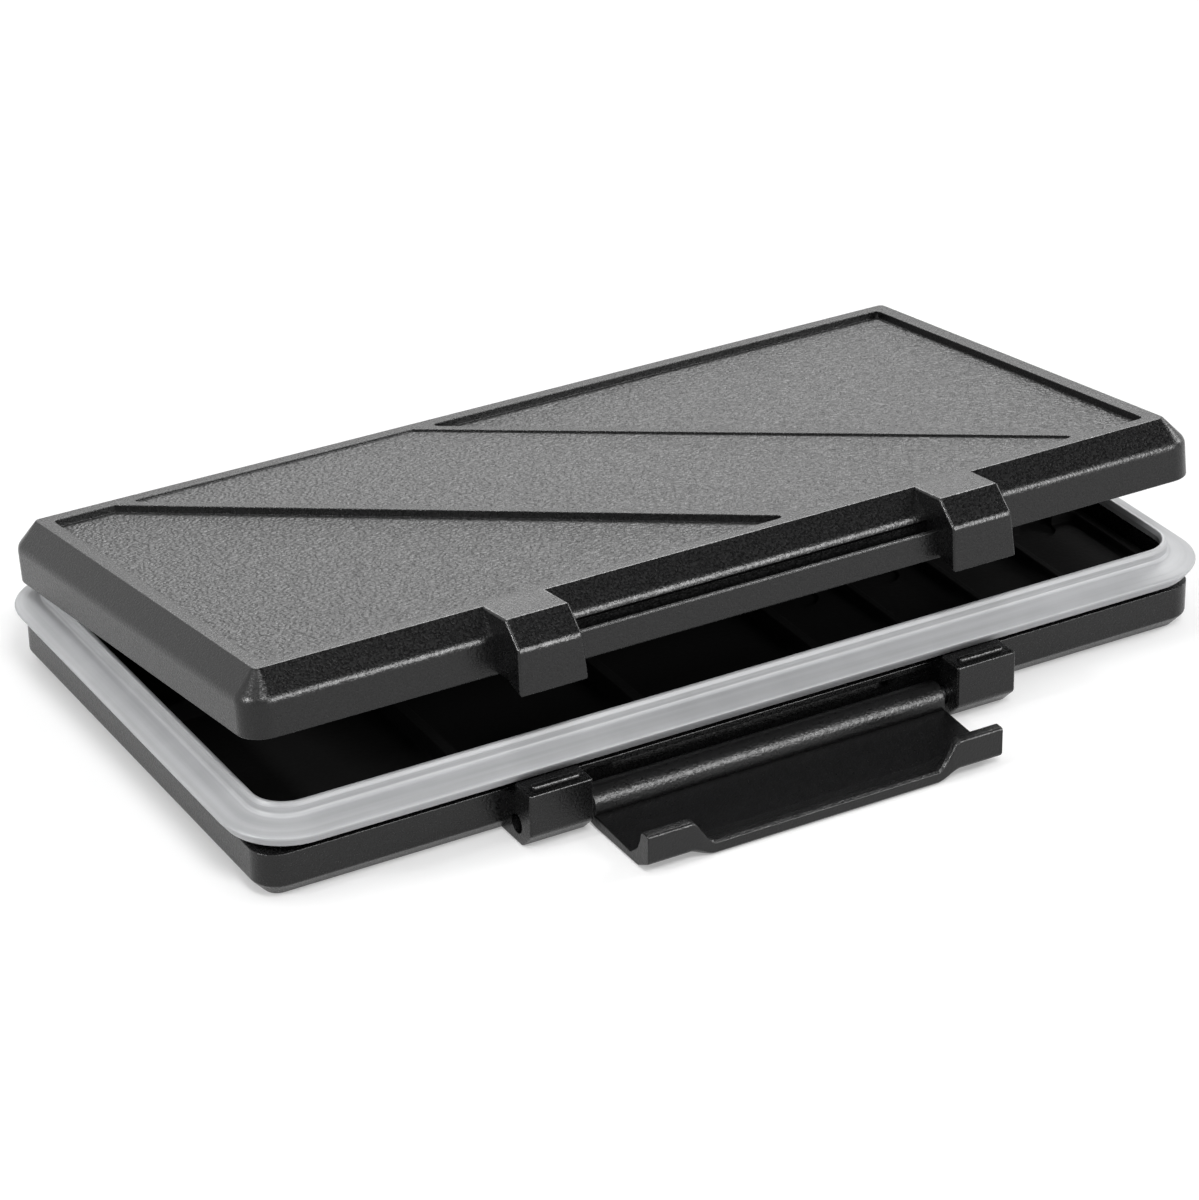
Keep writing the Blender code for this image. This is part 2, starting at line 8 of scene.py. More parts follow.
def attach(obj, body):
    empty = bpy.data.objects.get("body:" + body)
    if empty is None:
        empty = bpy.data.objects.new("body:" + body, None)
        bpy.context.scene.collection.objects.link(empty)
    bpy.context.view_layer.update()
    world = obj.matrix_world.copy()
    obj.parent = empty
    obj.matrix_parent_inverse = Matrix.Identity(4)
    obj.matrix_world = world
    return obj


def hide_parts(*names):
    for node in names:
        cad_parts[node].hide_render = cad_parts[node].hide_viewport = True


# Hard wallet for memory cards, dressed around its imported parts
# Sizes are in millimetres unless a note says otherwise
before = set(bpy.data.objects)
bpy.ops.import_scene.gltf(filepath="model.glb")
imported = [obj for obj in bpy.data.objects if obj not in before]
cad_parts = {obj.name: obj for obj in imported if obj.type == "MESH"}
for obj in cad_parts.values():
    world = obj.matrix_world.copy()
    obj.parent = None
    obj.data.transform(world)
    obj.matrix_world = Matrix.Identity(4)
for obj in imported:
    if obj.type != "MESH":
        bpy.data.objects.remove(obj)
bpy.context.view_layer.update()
print("frame loaded:", ", ".join(sorted(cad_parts)))

toMetres = 0.001
caseSizes = {
    "length": 135.0,
    "depth": 72.8,
    "hingeY": 40.9,      # rear hinge, which the lid turns on
    "hingeZ": 7.6,
    "latchY": -38.8,     # pin that the latch turns on
    "latchZ": 2.65,
    "latchBore": 1.3,    # radius of the bore round that pin
    "lidAjar": 8.0,      # degrees, as photographed
    "catchHalf": 26.2,   # half the space between the two lugs
    "catchOuter": 34.9,
}
meshRules = {
    "sideShare": 0.47,       # the most of a side that one rounding takes
    "leastCorner": 0.3,      # the smallest corner of a level ring
    "leastRadius": 0.05,     # the smallest corner of a shifted outline
    "mergeDistance": 0.01,
    "zeroLength": 0.001,     # edges shorter than this are taken out
    "holeSides": 6,          # the most sides of a pinhole that gets filled
    "edgeBend": 0.002,       # an edge point this near to the straight line
    "shortEdge": 0.02,       # and this near to the next point is dropped
    "sharpAngle": 34,        # degrees, past which an edge stays crisp
    "faceWeight": 80,        # how much the broad faces lead the shading
    "wallBite": 0.375,       # how far a joined piece reaches into the wall
    "overrun": 1.0,          # how far cutters and open profiles run past their surface
    "sideGap": 0.05,         # how far a cutter stays short of the lugs and blocks
    "hair": 0.004,           # keeps two faces from lying in one place
}
frontWall = -caseSizes["depth"] / 2
rearWall = caseSizes["depth"] / 2
catchSpans = (
    (caseSizes["catchHalf"], caseSizes["catchOuter"]),
    (-caseSizes["catchOuter"], -caseSizes["catchHalf"]),
)


def roundedOutline(outline, steps, closed=True):
    # Each point is (a, b, radius, ...): a bend with a radius becomes an arc of that many steps
    points = []
    for index, point in enumerate(outline):
        place = Vector(point[:2])
        radius = point[2]
        rest = tuple(point[3:])
        if not radius or (not closed and index in (0, len(outline) - 1)):
            points.append((*place, *rest))
            continue
        before = Vector(outline[index - 1][:2]) - place
        after = Vector(outline[(index + 1) % len(outline)][:2]) - place
        half = before.angle(after) / 2
        most = meshRules["sideShare"] * min(before.length, after.length)
        reach = min(radius / math.tan(half), most)
        centre = place + (before.normalized() + after.normalized()).normalized() * reach / math.cos(half)
        start = place + before.normalized() * reach - centre
        end = place + after.normalized() * reach - centre
        turn = math.pi - 2 * half
        for step in range(steps + 1):
            share = step / steps
            swung = start * math.sin((1 - share) * turn) + end * math.sin(share * turn)
            spot = centre + swung / math.sin(turn)
            points.append((*spot, *rest))
    return points


def ringPoints(inset, height, corner, steps=9):
    # A level rounded rectangle, inside the wall plane by the inset
    radius = max(corner - inset, meshRules["leastCorner"])
    halfX = caseSizes["length"] / 2 - inset - radius
    halfY = caseSizes["depth"] / 2 - inset - radius
    points = []
    for quarter, (sideX, sideY) in enumerate(((1, 1), (-1, 1), (-1, -1), (1, -1))):
        for step in range(steps + 1):
            angle = (quarter + step / steps) * math.pi / 2
            x = sideX * halfX + radius * math.cos(angle)
            y = sideY * halfY + radius * math.sin(angle)
            points.append((x, y, height))
    return points


def newObject(name, data):
    made = bpy.data.objects.new(name, data)
    bpy.context.scene.collection.objects.link(made)
    return made


def shapeObject(name, shape, materials=()):
    # Turns an edited shape into an object and frees it
    mesh = bpy.data.meshes.new(name)
    shape.to_mesh(mesh)
    shape.free()
    for material in materials:
        mesh.materials.append(material)
    return newObject(name, mesh)


def loftRows(name, rows, materials=(), firstCapSlot=0):
    # Faces between each row of points and the next; the first cap may take another material slot
    shape = bmesh.new()
    loops = [[shape.verts.new(Vector(point) * toMetres) for point in row] for row in rows]
    for low, high in zip(loops, loops[1:]):
        for index in range(len(low)):
            after = (index + 1) % len(low)
            shape.faces.new((low[index], low[after], high[after], high[index]))
    shape.faces.new(loops[0]).material_index = firstCapSlot
    shape.faces.new(loops[-1])
    bmesh.ops.recalc_face_normals(shape, faces=shape.faces)
    return shapeObject(name, shape, materials)


def applyModifiers(piece):
    graph = bpy.context.evaluated_depsgraph_get()
    mesh = bpy.data.meshes.new_from_object(piece.evaluated_get(graph))
    piece.modifiers.clear()
    piece.data = mesh


def bevelledPrism(name, outline, lowX, highX, endRound, segments=3, plainSides=()):
    # An outline of (y, z, rounding) points carried along X, with its long edges and its ends rounded;
    # plain sides, which lie inside another piece, keep sharp ends
    shape = bmesh.new()
    weights = shape.edges.layers.float.new("bevel_weight_edge")
    widest = max([endRound] + [point[2] for point in outline]) or 1.0
    ends = []
    for x in (lowX, highX):
        ends.append([shape.verts.new(Vector((x, y, z)) * toMetres) for y, z, rounding in outline])
    for loop in ends:
        shape.faces.new(loop)
    for index in range(len(outline)):
        after = (index + 1) % len(outline)
        shape.faces.new((ends[0][index], ends[0][after], ends[1][after], ends[1][index]))
    for index, point in enumerate(outline):
        shape.edges.get((ends[0][index], ends[1][index]))[weights] = point[2] / widest
        for loop in ends:
            if index not in plainSides:
                shape.edges.get((loop[index], loop[(index + 1) % len(outline)]))[weights] = endRound / widest
    bmesh.ops.recalc_face_normals(shape, faces=shape.faces)
    piece = shapeObject(name, shape)
    bevel = piece.modifiers.new("rounding", "BEVEL")
    bevel.limit_method = "WEIGHT"
    bevel.width = widest * toMetres
    bevel.segments = segments
    bevel.use_clamp_overlap = False
    applyModifiers(piece)
    return piece


def boxOutline(front, back, low, high):
    return [(front, low, 0), (back, low, 0), (back, high, 0), (front, high, 0)]


def roundBar(name, centreY, centreZ, radius, lowX, highX, sides=48, endRound=0.0):
    spans = [(lowX, radius), (highX, radius)]
    if endRound:
        tip = radius - endRound
        spans = [(lowX, tip), (lowX + endRound, radius), (highX - endRound, radius), (highX, tip)]
    angles = [2 * math.pi * (step + 0.5) / sides for step in range(sides)]
    rows = [[(x, centreY + r * math.cos(a), centreZ + r * math.sin(a)) for a in angles] for x, r in spans]
    return loftRows(name, rows)


def axleBar(name, axle, radius, end):
    # A bar along the axle of the hinge or of the latch, as far to the left as to the right
    return roundBar(name, caseSizes[axle + "Y"], caseSizes[axle + "Z"], radius, -end, end)


def gathered(tools, materials):
    # Puts tools that don't touch each other into one object
    shape = bmesh.new()
    for tool in tools:
        shape.from_mesh(tool.data)
        bpy.data.objects.remove(tool)
    return shapeObject("tools", shape, materials)


def combine(piece, tools, operation):
    # Joins the tools to the piece, or cuts them out of it, and removes them
    tool = gathered(tools, piece.data.materials)
    change = piece.modifiers.new("change", "BOOLEAN")
    change.operation = operation
    change.solver = "EXACT"
    change.object = tool
    applyModifiers(piece)
    bpy.data.objects.remove(tool)
    cleanMesh(piece)


def cleanMesh(piece):
    # Merges doubles, takes out lone faces, fills pinholes and turns the faces outward
    shape = bmesh.new()
    shape.from_mesh(piece.data)
    bmesh.ops.remove_doubles(shape, verts=shape.verts, dist=meshRules["mergeDistance"] * toMetres)
    bmesh.ops.dissolve_degenerate(shape, edges=shape.edges, dist=meshRules["zeroLength"] * toMetres)
    lone = [face for face in shape.faces if all(edge.is_boundary for edge in face.edges)]
    bmesh.ops.delete(shape, geom=lone, context="FACES")
    rims = [edge for edge in shape.edges if edge.is_boundary]
    bmesh.ops.holes_fill(shape, edges=rims, sides=meshRules["holeSides"])
    bmesh.ops.recalc_face_normals(shape, faces=shape.faces)
    shape.to_mesh(piece.data)
    shape.free()


def dropMidpoints(piece):
    # Takes out points that crowd the end of a straight edge, which would end as stray slivers once the faces are
    # split into triangles; the others stay, since a bent face takes its shape from them
    bend = meshRules["edgeBend"] * toMetres
    nearest = meshRules["shortEdge"] * toMetres
    shape = bmesh.new()
    shape.from_mesh(piece.data)
    idle = []
    for vertex in shape.verts:
        if len(vertex.link_edges) == 2:
            first, second = [edge.other_vert(vertex).co - vertex.co for edge in vertex.link_edges]
            straight = first.cross(second).length < bend * (first - second).length
            if straight and min(first.length, second.length) < nearest:
                idle.append(vertex)
    bmesh.ops.dissolve_verts(shape, verts=idle)
    shape.to_mesh(piece.data)
    shape.free()


def softShade(piece):
    # Broad faces keep their own normals and the narrow rounded strips between them blend
    piece.data.shade_smooth()
    piece.data.set_sharp_from_angle(angle=math.radians(meshRules["sharpAngle"]))
    weighted = piece.modifiers.new("faceNormals", "WEIGHTED_NORMAL")
    weighted.keep_sharp = True
    weighted.weight = meshRules["faceWeight"]
    applyModifiers(piece)


def turnWithLid(piece):
    # Lid pieces are drawn shut and then turned ajar about the rear hinge
    hinge = Matrix.Translation(Vector((0, caseSizes["hingeY"], caseSizes["hingeZ"])) * toMetres)
    opening = Matrix.Rotation(-math.radians(caseSizes["lidAjar"]), 4, "X")
    piece.data.transform(hinge @ opening @ hinge.inverted())


def finishPiece(piece, body, nodes):
    cleanMesh(piece)
    dropMidpoints(piece)
    if body == "lid":
        turnWithLid(piece)
    softShade(piece)
    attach(piece, body)
    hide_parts(*nodes)
    print(piece.name, len(piece.data.polygons), "faces")


def addNode(tree, kind, settings=(), links=()):
    # Settings name the node's own properties or its inputs, and links name inputs and the sockets that feed them
    node = tree.nodes.new(kind)
    for name, value in dict(settings).items():
        if isinstance(name, str) and hasattr(node, name):
            setattr(node, name, value)
        else:
            node.inputs[name].default_value = value
    for name, socket in dict(links).items():
        tree.links.new(socket, node.inputs[name])
    return node


def linearColour(hexColour):
    # sRGB hex to the linear values that Blender's sockets take
    channels = [int(hexColour[i:i + 2], 16) / 255 for i in (1, 3, 5)]
    return tuple(c / 12.92 if c <= 0.04045 else ((c + 0.055) / 1.055) ** 2.4 for c in channels) + (1,)


def startMaterial(name, colour, roughness, specular=0.5, metallic=0.0):
    material = bpy.data.materials.new(name)
    material.use_nodes = True
    tree = material.node_tree
    shader = tree.nodes["Principled BSDF"]
    shader.inputs["Base Color"].default_value = linearColour(colour)
    shader.inputs["Roughness"].default_value = roughness
    shader.inputs["Specular IOR Level"].default_value = specular
    shader.inputs["Metallic"].default_value = metallic
    place = addNode(tree, "ShaderNodeTexCoord").outputs["Object"]
    return material, tree, shader, place


def noiseScale(grainMillimetres):
    return 1000 / grainMillimetres


def finishLook(tree, shader, share, colours, relief, height, strength=1.0):
    # Mixes the base colour by the share, and raises the surface by a relief of that height in millimetres
    tint = addNode(tree, "ShaderNodeMix",
                   {"data_type": "RGBA", 6: linearColour(colours[0]), 7: linearColour(colours[1])}, {0: share})
    tree.links.new(tint.outputs[2], shader.inputs["Base Color"])
    bump = addNode(tree, "ShaderNodeBump", {"Strength": strength, "Distance": height * toMetres}, {"Height": relief})
    tree.links.new(bump.outputs["Normal"], shader.inputs["Normal"])


plasticLooks = {
    "shine": 0.36,                # specular level
    "sparkGrain": 0.3,            # mm between the bumps of a spark-eroded mould, a little coarse so that they show
    "sparkSwing": (0.06, 0.08),   # how far the roughness goes below and above its mean
    "patchGrain": 22,             # mm between the faint patches of the darker colour
    # the height is that of the bumps, in mm
    "shell": {"name": "absSparkSatin", "colour": "#0b0b0c", "darker": "#080808", "roughness": 0.28, "height": 0.045},
    "latch": {"name": "absLatchSatin", "colour": "#090909", "darker": "#060607", "roughness": 0.33, "height": 0.055},
}


def makeSparkPlastic(name, colour, darker, roughness, height):
    # ABS moulded against a spark-eroded tool: a satin black whose highlights break into fine speckles
    s = plasticLooks
    material, tree, shader, place = startMaterial(name, colour, roughness, s["shine"])
    fine = addNode(tree, "ShaderNodeTexNoise",
                   {"Scale": noiseScale(s["sparkGrain"]), "Detail": 2.0, "Roughness": 0.5}, {"Vector": place})
    broad = addNode(tree, "ShaderNodeTexNoise",
                    {"Scale": noiseScale(s["patchGrain"]), "Detail": 2.0}, {"Vector": place})
    below, above = s["sparkSwing"]
    rough = addNode(tree, "ShaderNodeMapRange",
                    {"From Min": 0.3, "From Max": 0.7, "To Min": roughness - below, "To Max": roughness + above},
                    {"Value": fine.outputs["Fac"]})
    tree.links.new(rough.outputs["Result"], shader.inputs["Roughness"])
    finishLook(tree, shader, broad.outputs["Fac"], (darker, colour), fine.outputs["Fac"], height)
    return material


leatherLooks = {
    "shine": 0.46,
    "roughness": 0.43,
    "swing": (0.08, 0.1),     # of the roughness, as in sparkSwing
    "grain": 0.54,            # mm between the wrinkles of the etched panels
    "height": 0.26,           # mm
    "softness": 0.3,          # how far neighbouring wrinkles blend
    "bendGrain": 1.2,         # mm between the bends of the wrinkles
    "bendReach": 0.6,         # mm that a bend moves them at most
    "fineGrain": 0.3,         # mm
    "fineShare": 0.35,        # height of the fine grain against the wrinkles
}


def makeLeatherPanel():
    # ABS moulded against an etched leather grain: short raised wrinkles that catch the light on one side
    s = leatherLooks
    shell = plasticLooks["shell"]
    material, tree, shader, place = startMaterial("absLeatherGrain", shell["colour"], s["roughness"], s["shine"])
    bend = addNode(tree, "ShaderNodeTexNoise",
                   {"Scale": noiseScale(s["bendGrain"]), "Detail": 2.0}, {"Vector": place})
    shift = addNode(tree, "ShaderNodeVectorMath",
                    {"operation": "SCALE", "Scale": s["bendReach"] * toMetres}, {0: bend.outputs["Color"]})
    moved = addNode(tree, "ShaderNodeVectorMath", {"operation": "ADD"}, {0: place, 1: shift.outputs[0]})
    wrinkle = addNode(tree, "ShaderNodeTexVoronoi",
                      {"feature": "SMOOTH_F1", "Scale": noiseScale(s["grain"]), "Smoothness": s["softness"]},
                      {"Vector": moved.outputs[0]})
    fine = addNode(tree, "ShaderNodeTexNoise",
                   {"Scale": noiseScale(s["fineGrain"]), "Detail": 3.0}, {"Vector": place})
    height = addNode(tree, "ShaderNodeMath", {"operation": "MULTIPLY_ADD", 1: s["fineShare"]},
                     {0: fine.outputs["Fac"], 2: wrinkle.outputs["Distance"]})
    low = s["roughness"] - s["swing"][0]
    high = s["roughness"] + s["swing"][1]
    rough = addNode(tree, "ShaderNodeMapRange",
                    {"From Min": 0.2, "From Max": 0.9, "To Min": low, "To Max": high},
                    {"Value": height.outputs["Value"]})
    tree.links.new(rough.outputs["Result"], shader.inputs["Roughness"])
    colours = (shell["darker"], shell["colour"])
    finishLook(tree, shader, fine.outputs["Fac"], colours, height.outputs["Value"], s["height"])
    return material


sealLooks = {
    "colour": "#babbbd",
    "shade": "#a6a7a9",
    "roughness": 0.45,
    "streakGrain": 0.22,      # mm of height between the flow lines that run along the ring
    "streakHeight": 0.05,     # mm
    "streakSqueeze": 0.004,   # draws the pattern out level, so that the lines run along the ring
    "cloudGrain": 6,          # mm between the cloudy patches
    "cloudShare": 0.5,        # their strength against the flow lines
}


def makeSilicone():
    # Grey silicone, compression moulded: matt and even, with faint flow lines along the ring and cloudy patches
    s = sealLooks
    material, tree, shader, place = startMaterial("greySilicone", s["colour"], s["roughness"])
    flat = addNode(tree, "ShaderNodeMapping",
                   {"Scale": (s["streakSqueeze"], s["streakSqueeze"], 1.0)}, {"Vector": place})
    streaks = addNode(tree, "ShaderNodeTexNoise",
                      {"Scale": noiseScale(s["streakGrain"]), "Detail": 3.0}, {"Vector": flat.outputs["Vector"]})
    cloud = addNode(tree, "ShaderNodeTexNoise",
                    {"Scale": noiseScale(s["cloudGrain"]), "Detail": 4.0}, {"Vector": place})
    both = addNode(tree, "ShaderNodeMath", {"operation": "MULTIPLY_ADD", 1: s["cloudShare"]},
                   {0: cloud.outputs["Fac"], 2: streaks.outputs["Fac"]})
    share = addNode(tree, "ShaderNodeMapRange", {"From Min": 0.5, "From Max": 1.0}, {"Value": both.outputs["Value"]})
    colours = (s["shade"], s["colour"])
    finishLook(tree, shader, share.outputs["Result"], colours, streaks.outputs["Fac"], s["streakHeight"])
    return material


trayLooks = {
    "colour": "#070707",
    # the pore colour is painted shade: the pits that the bump sinks are painted darker than the skin
    "poreShadeColour": "#050505",
    "skinColour": "#090909",
    "roughness": 0.85,
    "shine": 0.12,
    "poreGrain": 0.6,         # mm between the pores, a little coarse so that they show
    "poreDepth": 0.03,        # mm
    "poreStrength": 0.8,
}


def makeTrayRubber():
    # Dense black EVA foam: dead matt, with the pores of its closed cells, sunk by the bump and painted darker as
    # painted shade in their pits
    s = trayLooks
    material, tree, shader, place = startMaterial("blackEva", s["colour"], s["roughness"], s["shine"])
    pores = addNode(tree, "ShaderNodeTexVoronoi", {"Scale": noiseScale(s["poreGrain"])}, {"Vector": place})
    # the same distance sinks the pores and darkens them, a painted shade in the pits
    colours = (s["poreShadeColour"], s["skinColour"])
    cells = pores.outputs["Distance"]
    finishLook(tree, shader, cells, colours, cells, s["poreDepth"], s["poreStrength"])
    return material


steelLooks = {
    "colour": "#8d8e90",
    "roughness": 0.32,
    "lineGrain": 0.15,        # mm between the lines, a little coarse so that they show
    "lineSqueeze": 0.02,      # draws the pattern out along the wire
    "leastRough": 0.24,
    "mostRough": 0.42,
}


def makePinSteel():
    # Drawn steel wire: bright, with fine lines along its length
    s = steelLooks
    material, tree, shader, place = startMaterial("drawnSteel", s["colour"], s["roughness"], metallic=1.0)
    stretched = addNode(tree, "ShaderNodeMapping", {"Scale": (s["lineSqueeze"], 1.0, 1.0)}, {"Vector": place})
    wireLines = addNode(tree, "ShaderNodeTexNoise",
                        {"Scale": noiseScale(s["lineGrain"]), "Detail": 2.0},
                        {"Vector": stretched.outputs["Vector"]})
    rough = addNode(tree, "ShaderNodeMapRange", {"To Min": s["leastRough"], "To Max": s["mostRough"]},
                    {"Value": wireLines.outputs["Fac"]})
    tree.links.new(rough.outputs["Result"], shader.inputs["Roughness"])
    return material


shellPlastic = makeSparkPlastic(**plasticLooks["shell"])
latchPlastic = makeSparkPlastic(**plasticLooks["latch"])
leatherPanel = makeLeatherPanel()
silicone = makeSilicone()
trayRubber = makeTrayRubber()
pinSteel = makePinSteel()
print("materials made")


lidSizes = {
    "top": 18.5,
    "wallTop": 15.4,
    "wallBottom": 10.6,
    "chamferInset": 2.75,
    "corner": 3.5,
    "cavityCorner": 4.5,
    "skirtWall": 0.75,
    "sideWall": 3.0,
    "beadRoomTop": 12.15,
    "ceiling": 16.0,
    "frameWidth": 2.05,
    "ribMiddle": 21.65,
    "ribWidth": 1.4,
    "deepPanel": 1.0,
    "shallowPanel": 0.35,
    "panelFillet": 0.05,
    "panelCorner": 0.45,
    "edgeRound": 0.1,      # recess edges behind and beside the ribs
    "nearRound": 0.42,     # recess edges along the front and the left
    "topCap": 1.0,         # how far in from their edges the flat top and ceiling are closed
    "ceilingCap": 1.5,
    "topRound": 0.22,
    "wallRound": 1.7,
    "bottomRound": 0.25,
    "skirtRound": 0.15,
    "ledgeRound": 0.2,
    "ceilingRound": 0.5,
    "filletShare": 0.3,    # where the fillet's middle point lies
    "roundShare": 0.6,     # the most of a recess's depth that its edge takes
    "roundTurn": 10,       # degrees for each step of that edge
    "cutterFlare": 0.1,
    "cutterRise": 0.02,
}


def makeLidRing():
    s = lidSizes
    profile = [
        (s["chamferInset"] + s["topCap"], s["top"], 0, s["corner"]),
        (s["chamferInset"], s["top"], s["topRound"], s["corner"]),
        (0, s["wallTop"], s["wallRound"], s["corner"]),
        (0, s["wallBottom"], s["bottomRound"], s["corner"]),
        (s["skirtWall"], s["wallBottom"], s["skirtRound"], s["corner"]),
        (s["skirtWall"], s["beadRoomTop"], 0, s["corner"]),
        (s["sideWall"], s["beadRoomTop"], s["ledgeRound"], s["cavityCorner"]),
        (s["sideWall"], s["ceiling"], s["ceilingRound"], s["cavityCorner"]),
        (s["sideWall"] + s["ceilingCap"], s["ceiling"], 0, s["cavityCorner"]),
    ]
    rows = [ringPoints(*point) for point in roundedOutline(profile, steps=6, closed=False)]
    return loftRows("lidShell", rows, [shellPlastic, leatherPanel])


def panelOutlines():
    # Corners of the three sunk panels, drawn anticlockwise: the middle one and those beyond the diagonal ribs
    s = lidSizes
    halfX = caseSizes["length"] / 2 - s["chamferInset"] - s["frameWidth"]
    halfY = caseSizes["depth"] / 2 - s["chamferInset"] - s["frameWidth"]
    ribHalf = s["ribWidth"] * math.sqrt(0.5)
    near = s["ribMiddle"] - ribHalf
    far = s["ribMiddle"] + ribHalf
    middle = [(halfY - near, -halfY), (halfY + near, -halfY), (near - halfY, halfY), (-near - halfY, halfY)]
    frontLeft = [(-halfX, -halfY), (halfY - far, -halfY), (-far - halfY, halfY), (-halfX, halfY)]
    backRight = [(-x, -y) for x, y in frontLeft]
    return middle, frontLeft, backRight


def shiftedOutline(outline, shifts, radius, steps=4):
    # Moves each side inward by its own shift and rounds the corners; a side starts at its corner
    moved = []
    for index, corner in enumerate(outline):
        before = Vector(corner) - Vector(outline[index - 1])
        after = Vector(outline[(index + 1) % len(outline)]) - Vector(corner)
        first = Vector((-before.y, before.x)).normalized()
        second = Vector((-after.y, after.x)).normalized()
        turn = first.dot(second)
        early = (shifts[index - 1] - turn * shifts[index]) / (1 - turn * turn)
        late = (shifts[index] - turn * shifts[index - 1]) / (1 - turn * turn)
        spot = Vector(corner) + first * early + second * late
        moved.append((spot.x, spot.y, max(radius - min(shifts), meshRules["leastRadius"])))
    return roundedOutline(moved, steps)


def roundedBack(rise, radius):
    # How far an upper edge with this radius has gone outward at a height below the top
    above = min(max(rise + radius, 0) / radius, 1)
    return -radius * (1 - math.sqrt(1 - above * above))


def makePanelCutter(outline, depth):
    # Grained floor, small fillet, upright wall and rounded upper edges
    s = lidSizes
    fillet = s["panelFillet"]
    partway = fillet * s["filletShare"]
    rounds = []
    for index, corner in enumerate(outline):
        # Drawn anticlockwise, the front side runs to the right and the left one toward the front
        side = Vector(outline[(index + 1) % len(outline)]) - Vector(corner)
        near = side.x > abs(side.y) * 2 or side.y < -abs(side.x) * 2
        rounds.append(min(s["nearRound"] if near else s["edgeRound"], depth * s["roundShare"]))
    rows = [([fillet] * 4, -depth), ([partway] * 4, partway - depth), ([0] * 4, fillet - depth)]
    for degrees in range(0, 90, s["roundTurn"]):
        rise = max(rounds) * (math.sin(math.radians(degrees)) - 1)
        rows.append(([roundedBack(rise, radius) for radius in rounds], rise))
    outer = [shift - s["cutterFlare"] for shift in rows[-1][0]]
    rows += [(outer, s["cutterRise"]), (outer, meshRules["overrun"])]
    points = []
    for shifts, rise in rows:
        level = shiftedOutline(outline, shifts, s["panelCorner"])
        points.append([(x, y, s["top"] + rise) for x, y in level])
    return loftRows("panelCutter", points, [shellPlastic, leatherPanel], firstCapSlot=1)


catchSizes = {
    "reach": 5.9,          # lugs and blocks, out from the wall
    "topReach": 3.1,
    "chamferDrop": 3.2,
    "lugBottom": 9.5,
    "seatReach": 2.4,
    "seatHeight": 10.8,
    "lugEdge": 0.35,
    "lugFlare": 0.3,       # the lugs widen downward by this much on each side
    "barReach": 2.4,
    "barBottom": 10.5,
    "barTop": 14.1,
    "barThickness": 0.95,
    "channelFloor": 11.9,
    "noseUndercut": 0.5,
    "noseBottom": 14.9,
    "lugRoot": 3.4,        # how far the lugs' tops run back into the lid
    "rootDrop": 0.4,
    "lugTopRound": 0.15,
    "lugBendRound": 0.5,
    "lugFootRound": 0.22,
    "barFootRound": 0.18,
    "barFrontRound": 0.13,
    "barBackRound": 0.22,
    "barBite": 0.6,        # how far the bar's ends reach into the lugs
}


def makeLugs():
    s = catchSizes
    front = frontWall - s["reach"]
    top = lidSizes["top"] - meshRules["hair"]
    inWall = frontWall + meshRules["wallBite"]
    outline = [
        (frontWall + s["lugRoot"], top, 0),
        (frontWall - s["topReach"], top, s["lugTopRound"]),
        (front, top - s["chamferDrop"], s["lugBendRound"]),
        (front, s["lugBottom"], s["lugFootRound"]),
        (frontWall - s["seatReach"], s["seatHeight"], 0),
        (inWall, s["seatHeight"], 0),
        (inWall, lidSizes["wallTop"], 0),
        (frontWall + s["lugRoot"], top - s["rootDrop"], 0),
    ]
    lugs = []
    for low, high in catchSpans:
        lug = bevelledPrism("lug", outline, low, high, s["lugEdge"], plainSides=(5, 6, 7))
        middle = (low + high) / 2 * toMetres
        bend = (top - s["chamferDrop"]) * toMetres
        for vertex in lug.data.vertices:
            below = max(bend - vertex.co.z, 0) / (bend - s["lugBottom"] * toMetres)
            vertex.co.x += math.copysign(s["lugFlare"] * toMetres * below, vertex.co.x - middle)
        lugs.append(lug)
    return lugs


def makeBar():
    s = catchSizes
    front = frontWall - s["barReach"]
    back = frontWall + meshRules["wallBite"]
    outline = [
        (front, s["barBottom"], s["barFootRound"]),
        (front, s["barTop"], s["barFrontRound"]),
        (front + s["barThickness"], s["barTop"], s["barBackRound"]),
        (front + s["barThickness"], s["channelFloor"], 0),
        (back, s["channelFloor"], 0),
        (back, s["barBottom"], 0),
    ]
    end = caseSizes["catchHalf"] + s["barBite"]
    return bevelledPrism("bar", outline, -end, end, 0)


def makeNoseCutter():
    s = catchSizes
    outside = frontWall - meshRules["overrun"]
    outline = [
        (outside, s["channelFloor"], 0),
        (frontWall + s["noseUndercut"], s["channelFloor"], 0),
        (frontWall + s["noseUndercut"], s["noseBottom"] - s["noseUndercut"], 0),
        (frontWall, s["noseBottom"], 0),
        (outside, s["noseBottom"], 0),
    ]
    end = caseSizes["catchHalf"] - meshRules["sideGap"]
    return bevelledPrism("noseCutter", outline, -end, end, 0)


hingeSizes = {
    "spacing": 76.0,
    "knuckleRadius": 1.8,
    "bore": 1.15,          # radius
    "knuckleWidth": 4.0,
    "armWidth": 8.0,
    "gap": 0.3,
    "webTop": 6.05,
    "webDrop": 3.4,
    "webOuterDrop": 1.0,
    "webBite": 0.4,
    "webRound": 0.3,
    "webEdge": 0.12,
    "barrelEdge": 0.2,
    "armShoulder": 2.2,
    "armTop": 14.6,
    "armSeat": 10.9,
    "shoulderRound": 0.3,
    "seatRound": 0.2,
    "armSteps": 16,
    "edge": 0.2,
}


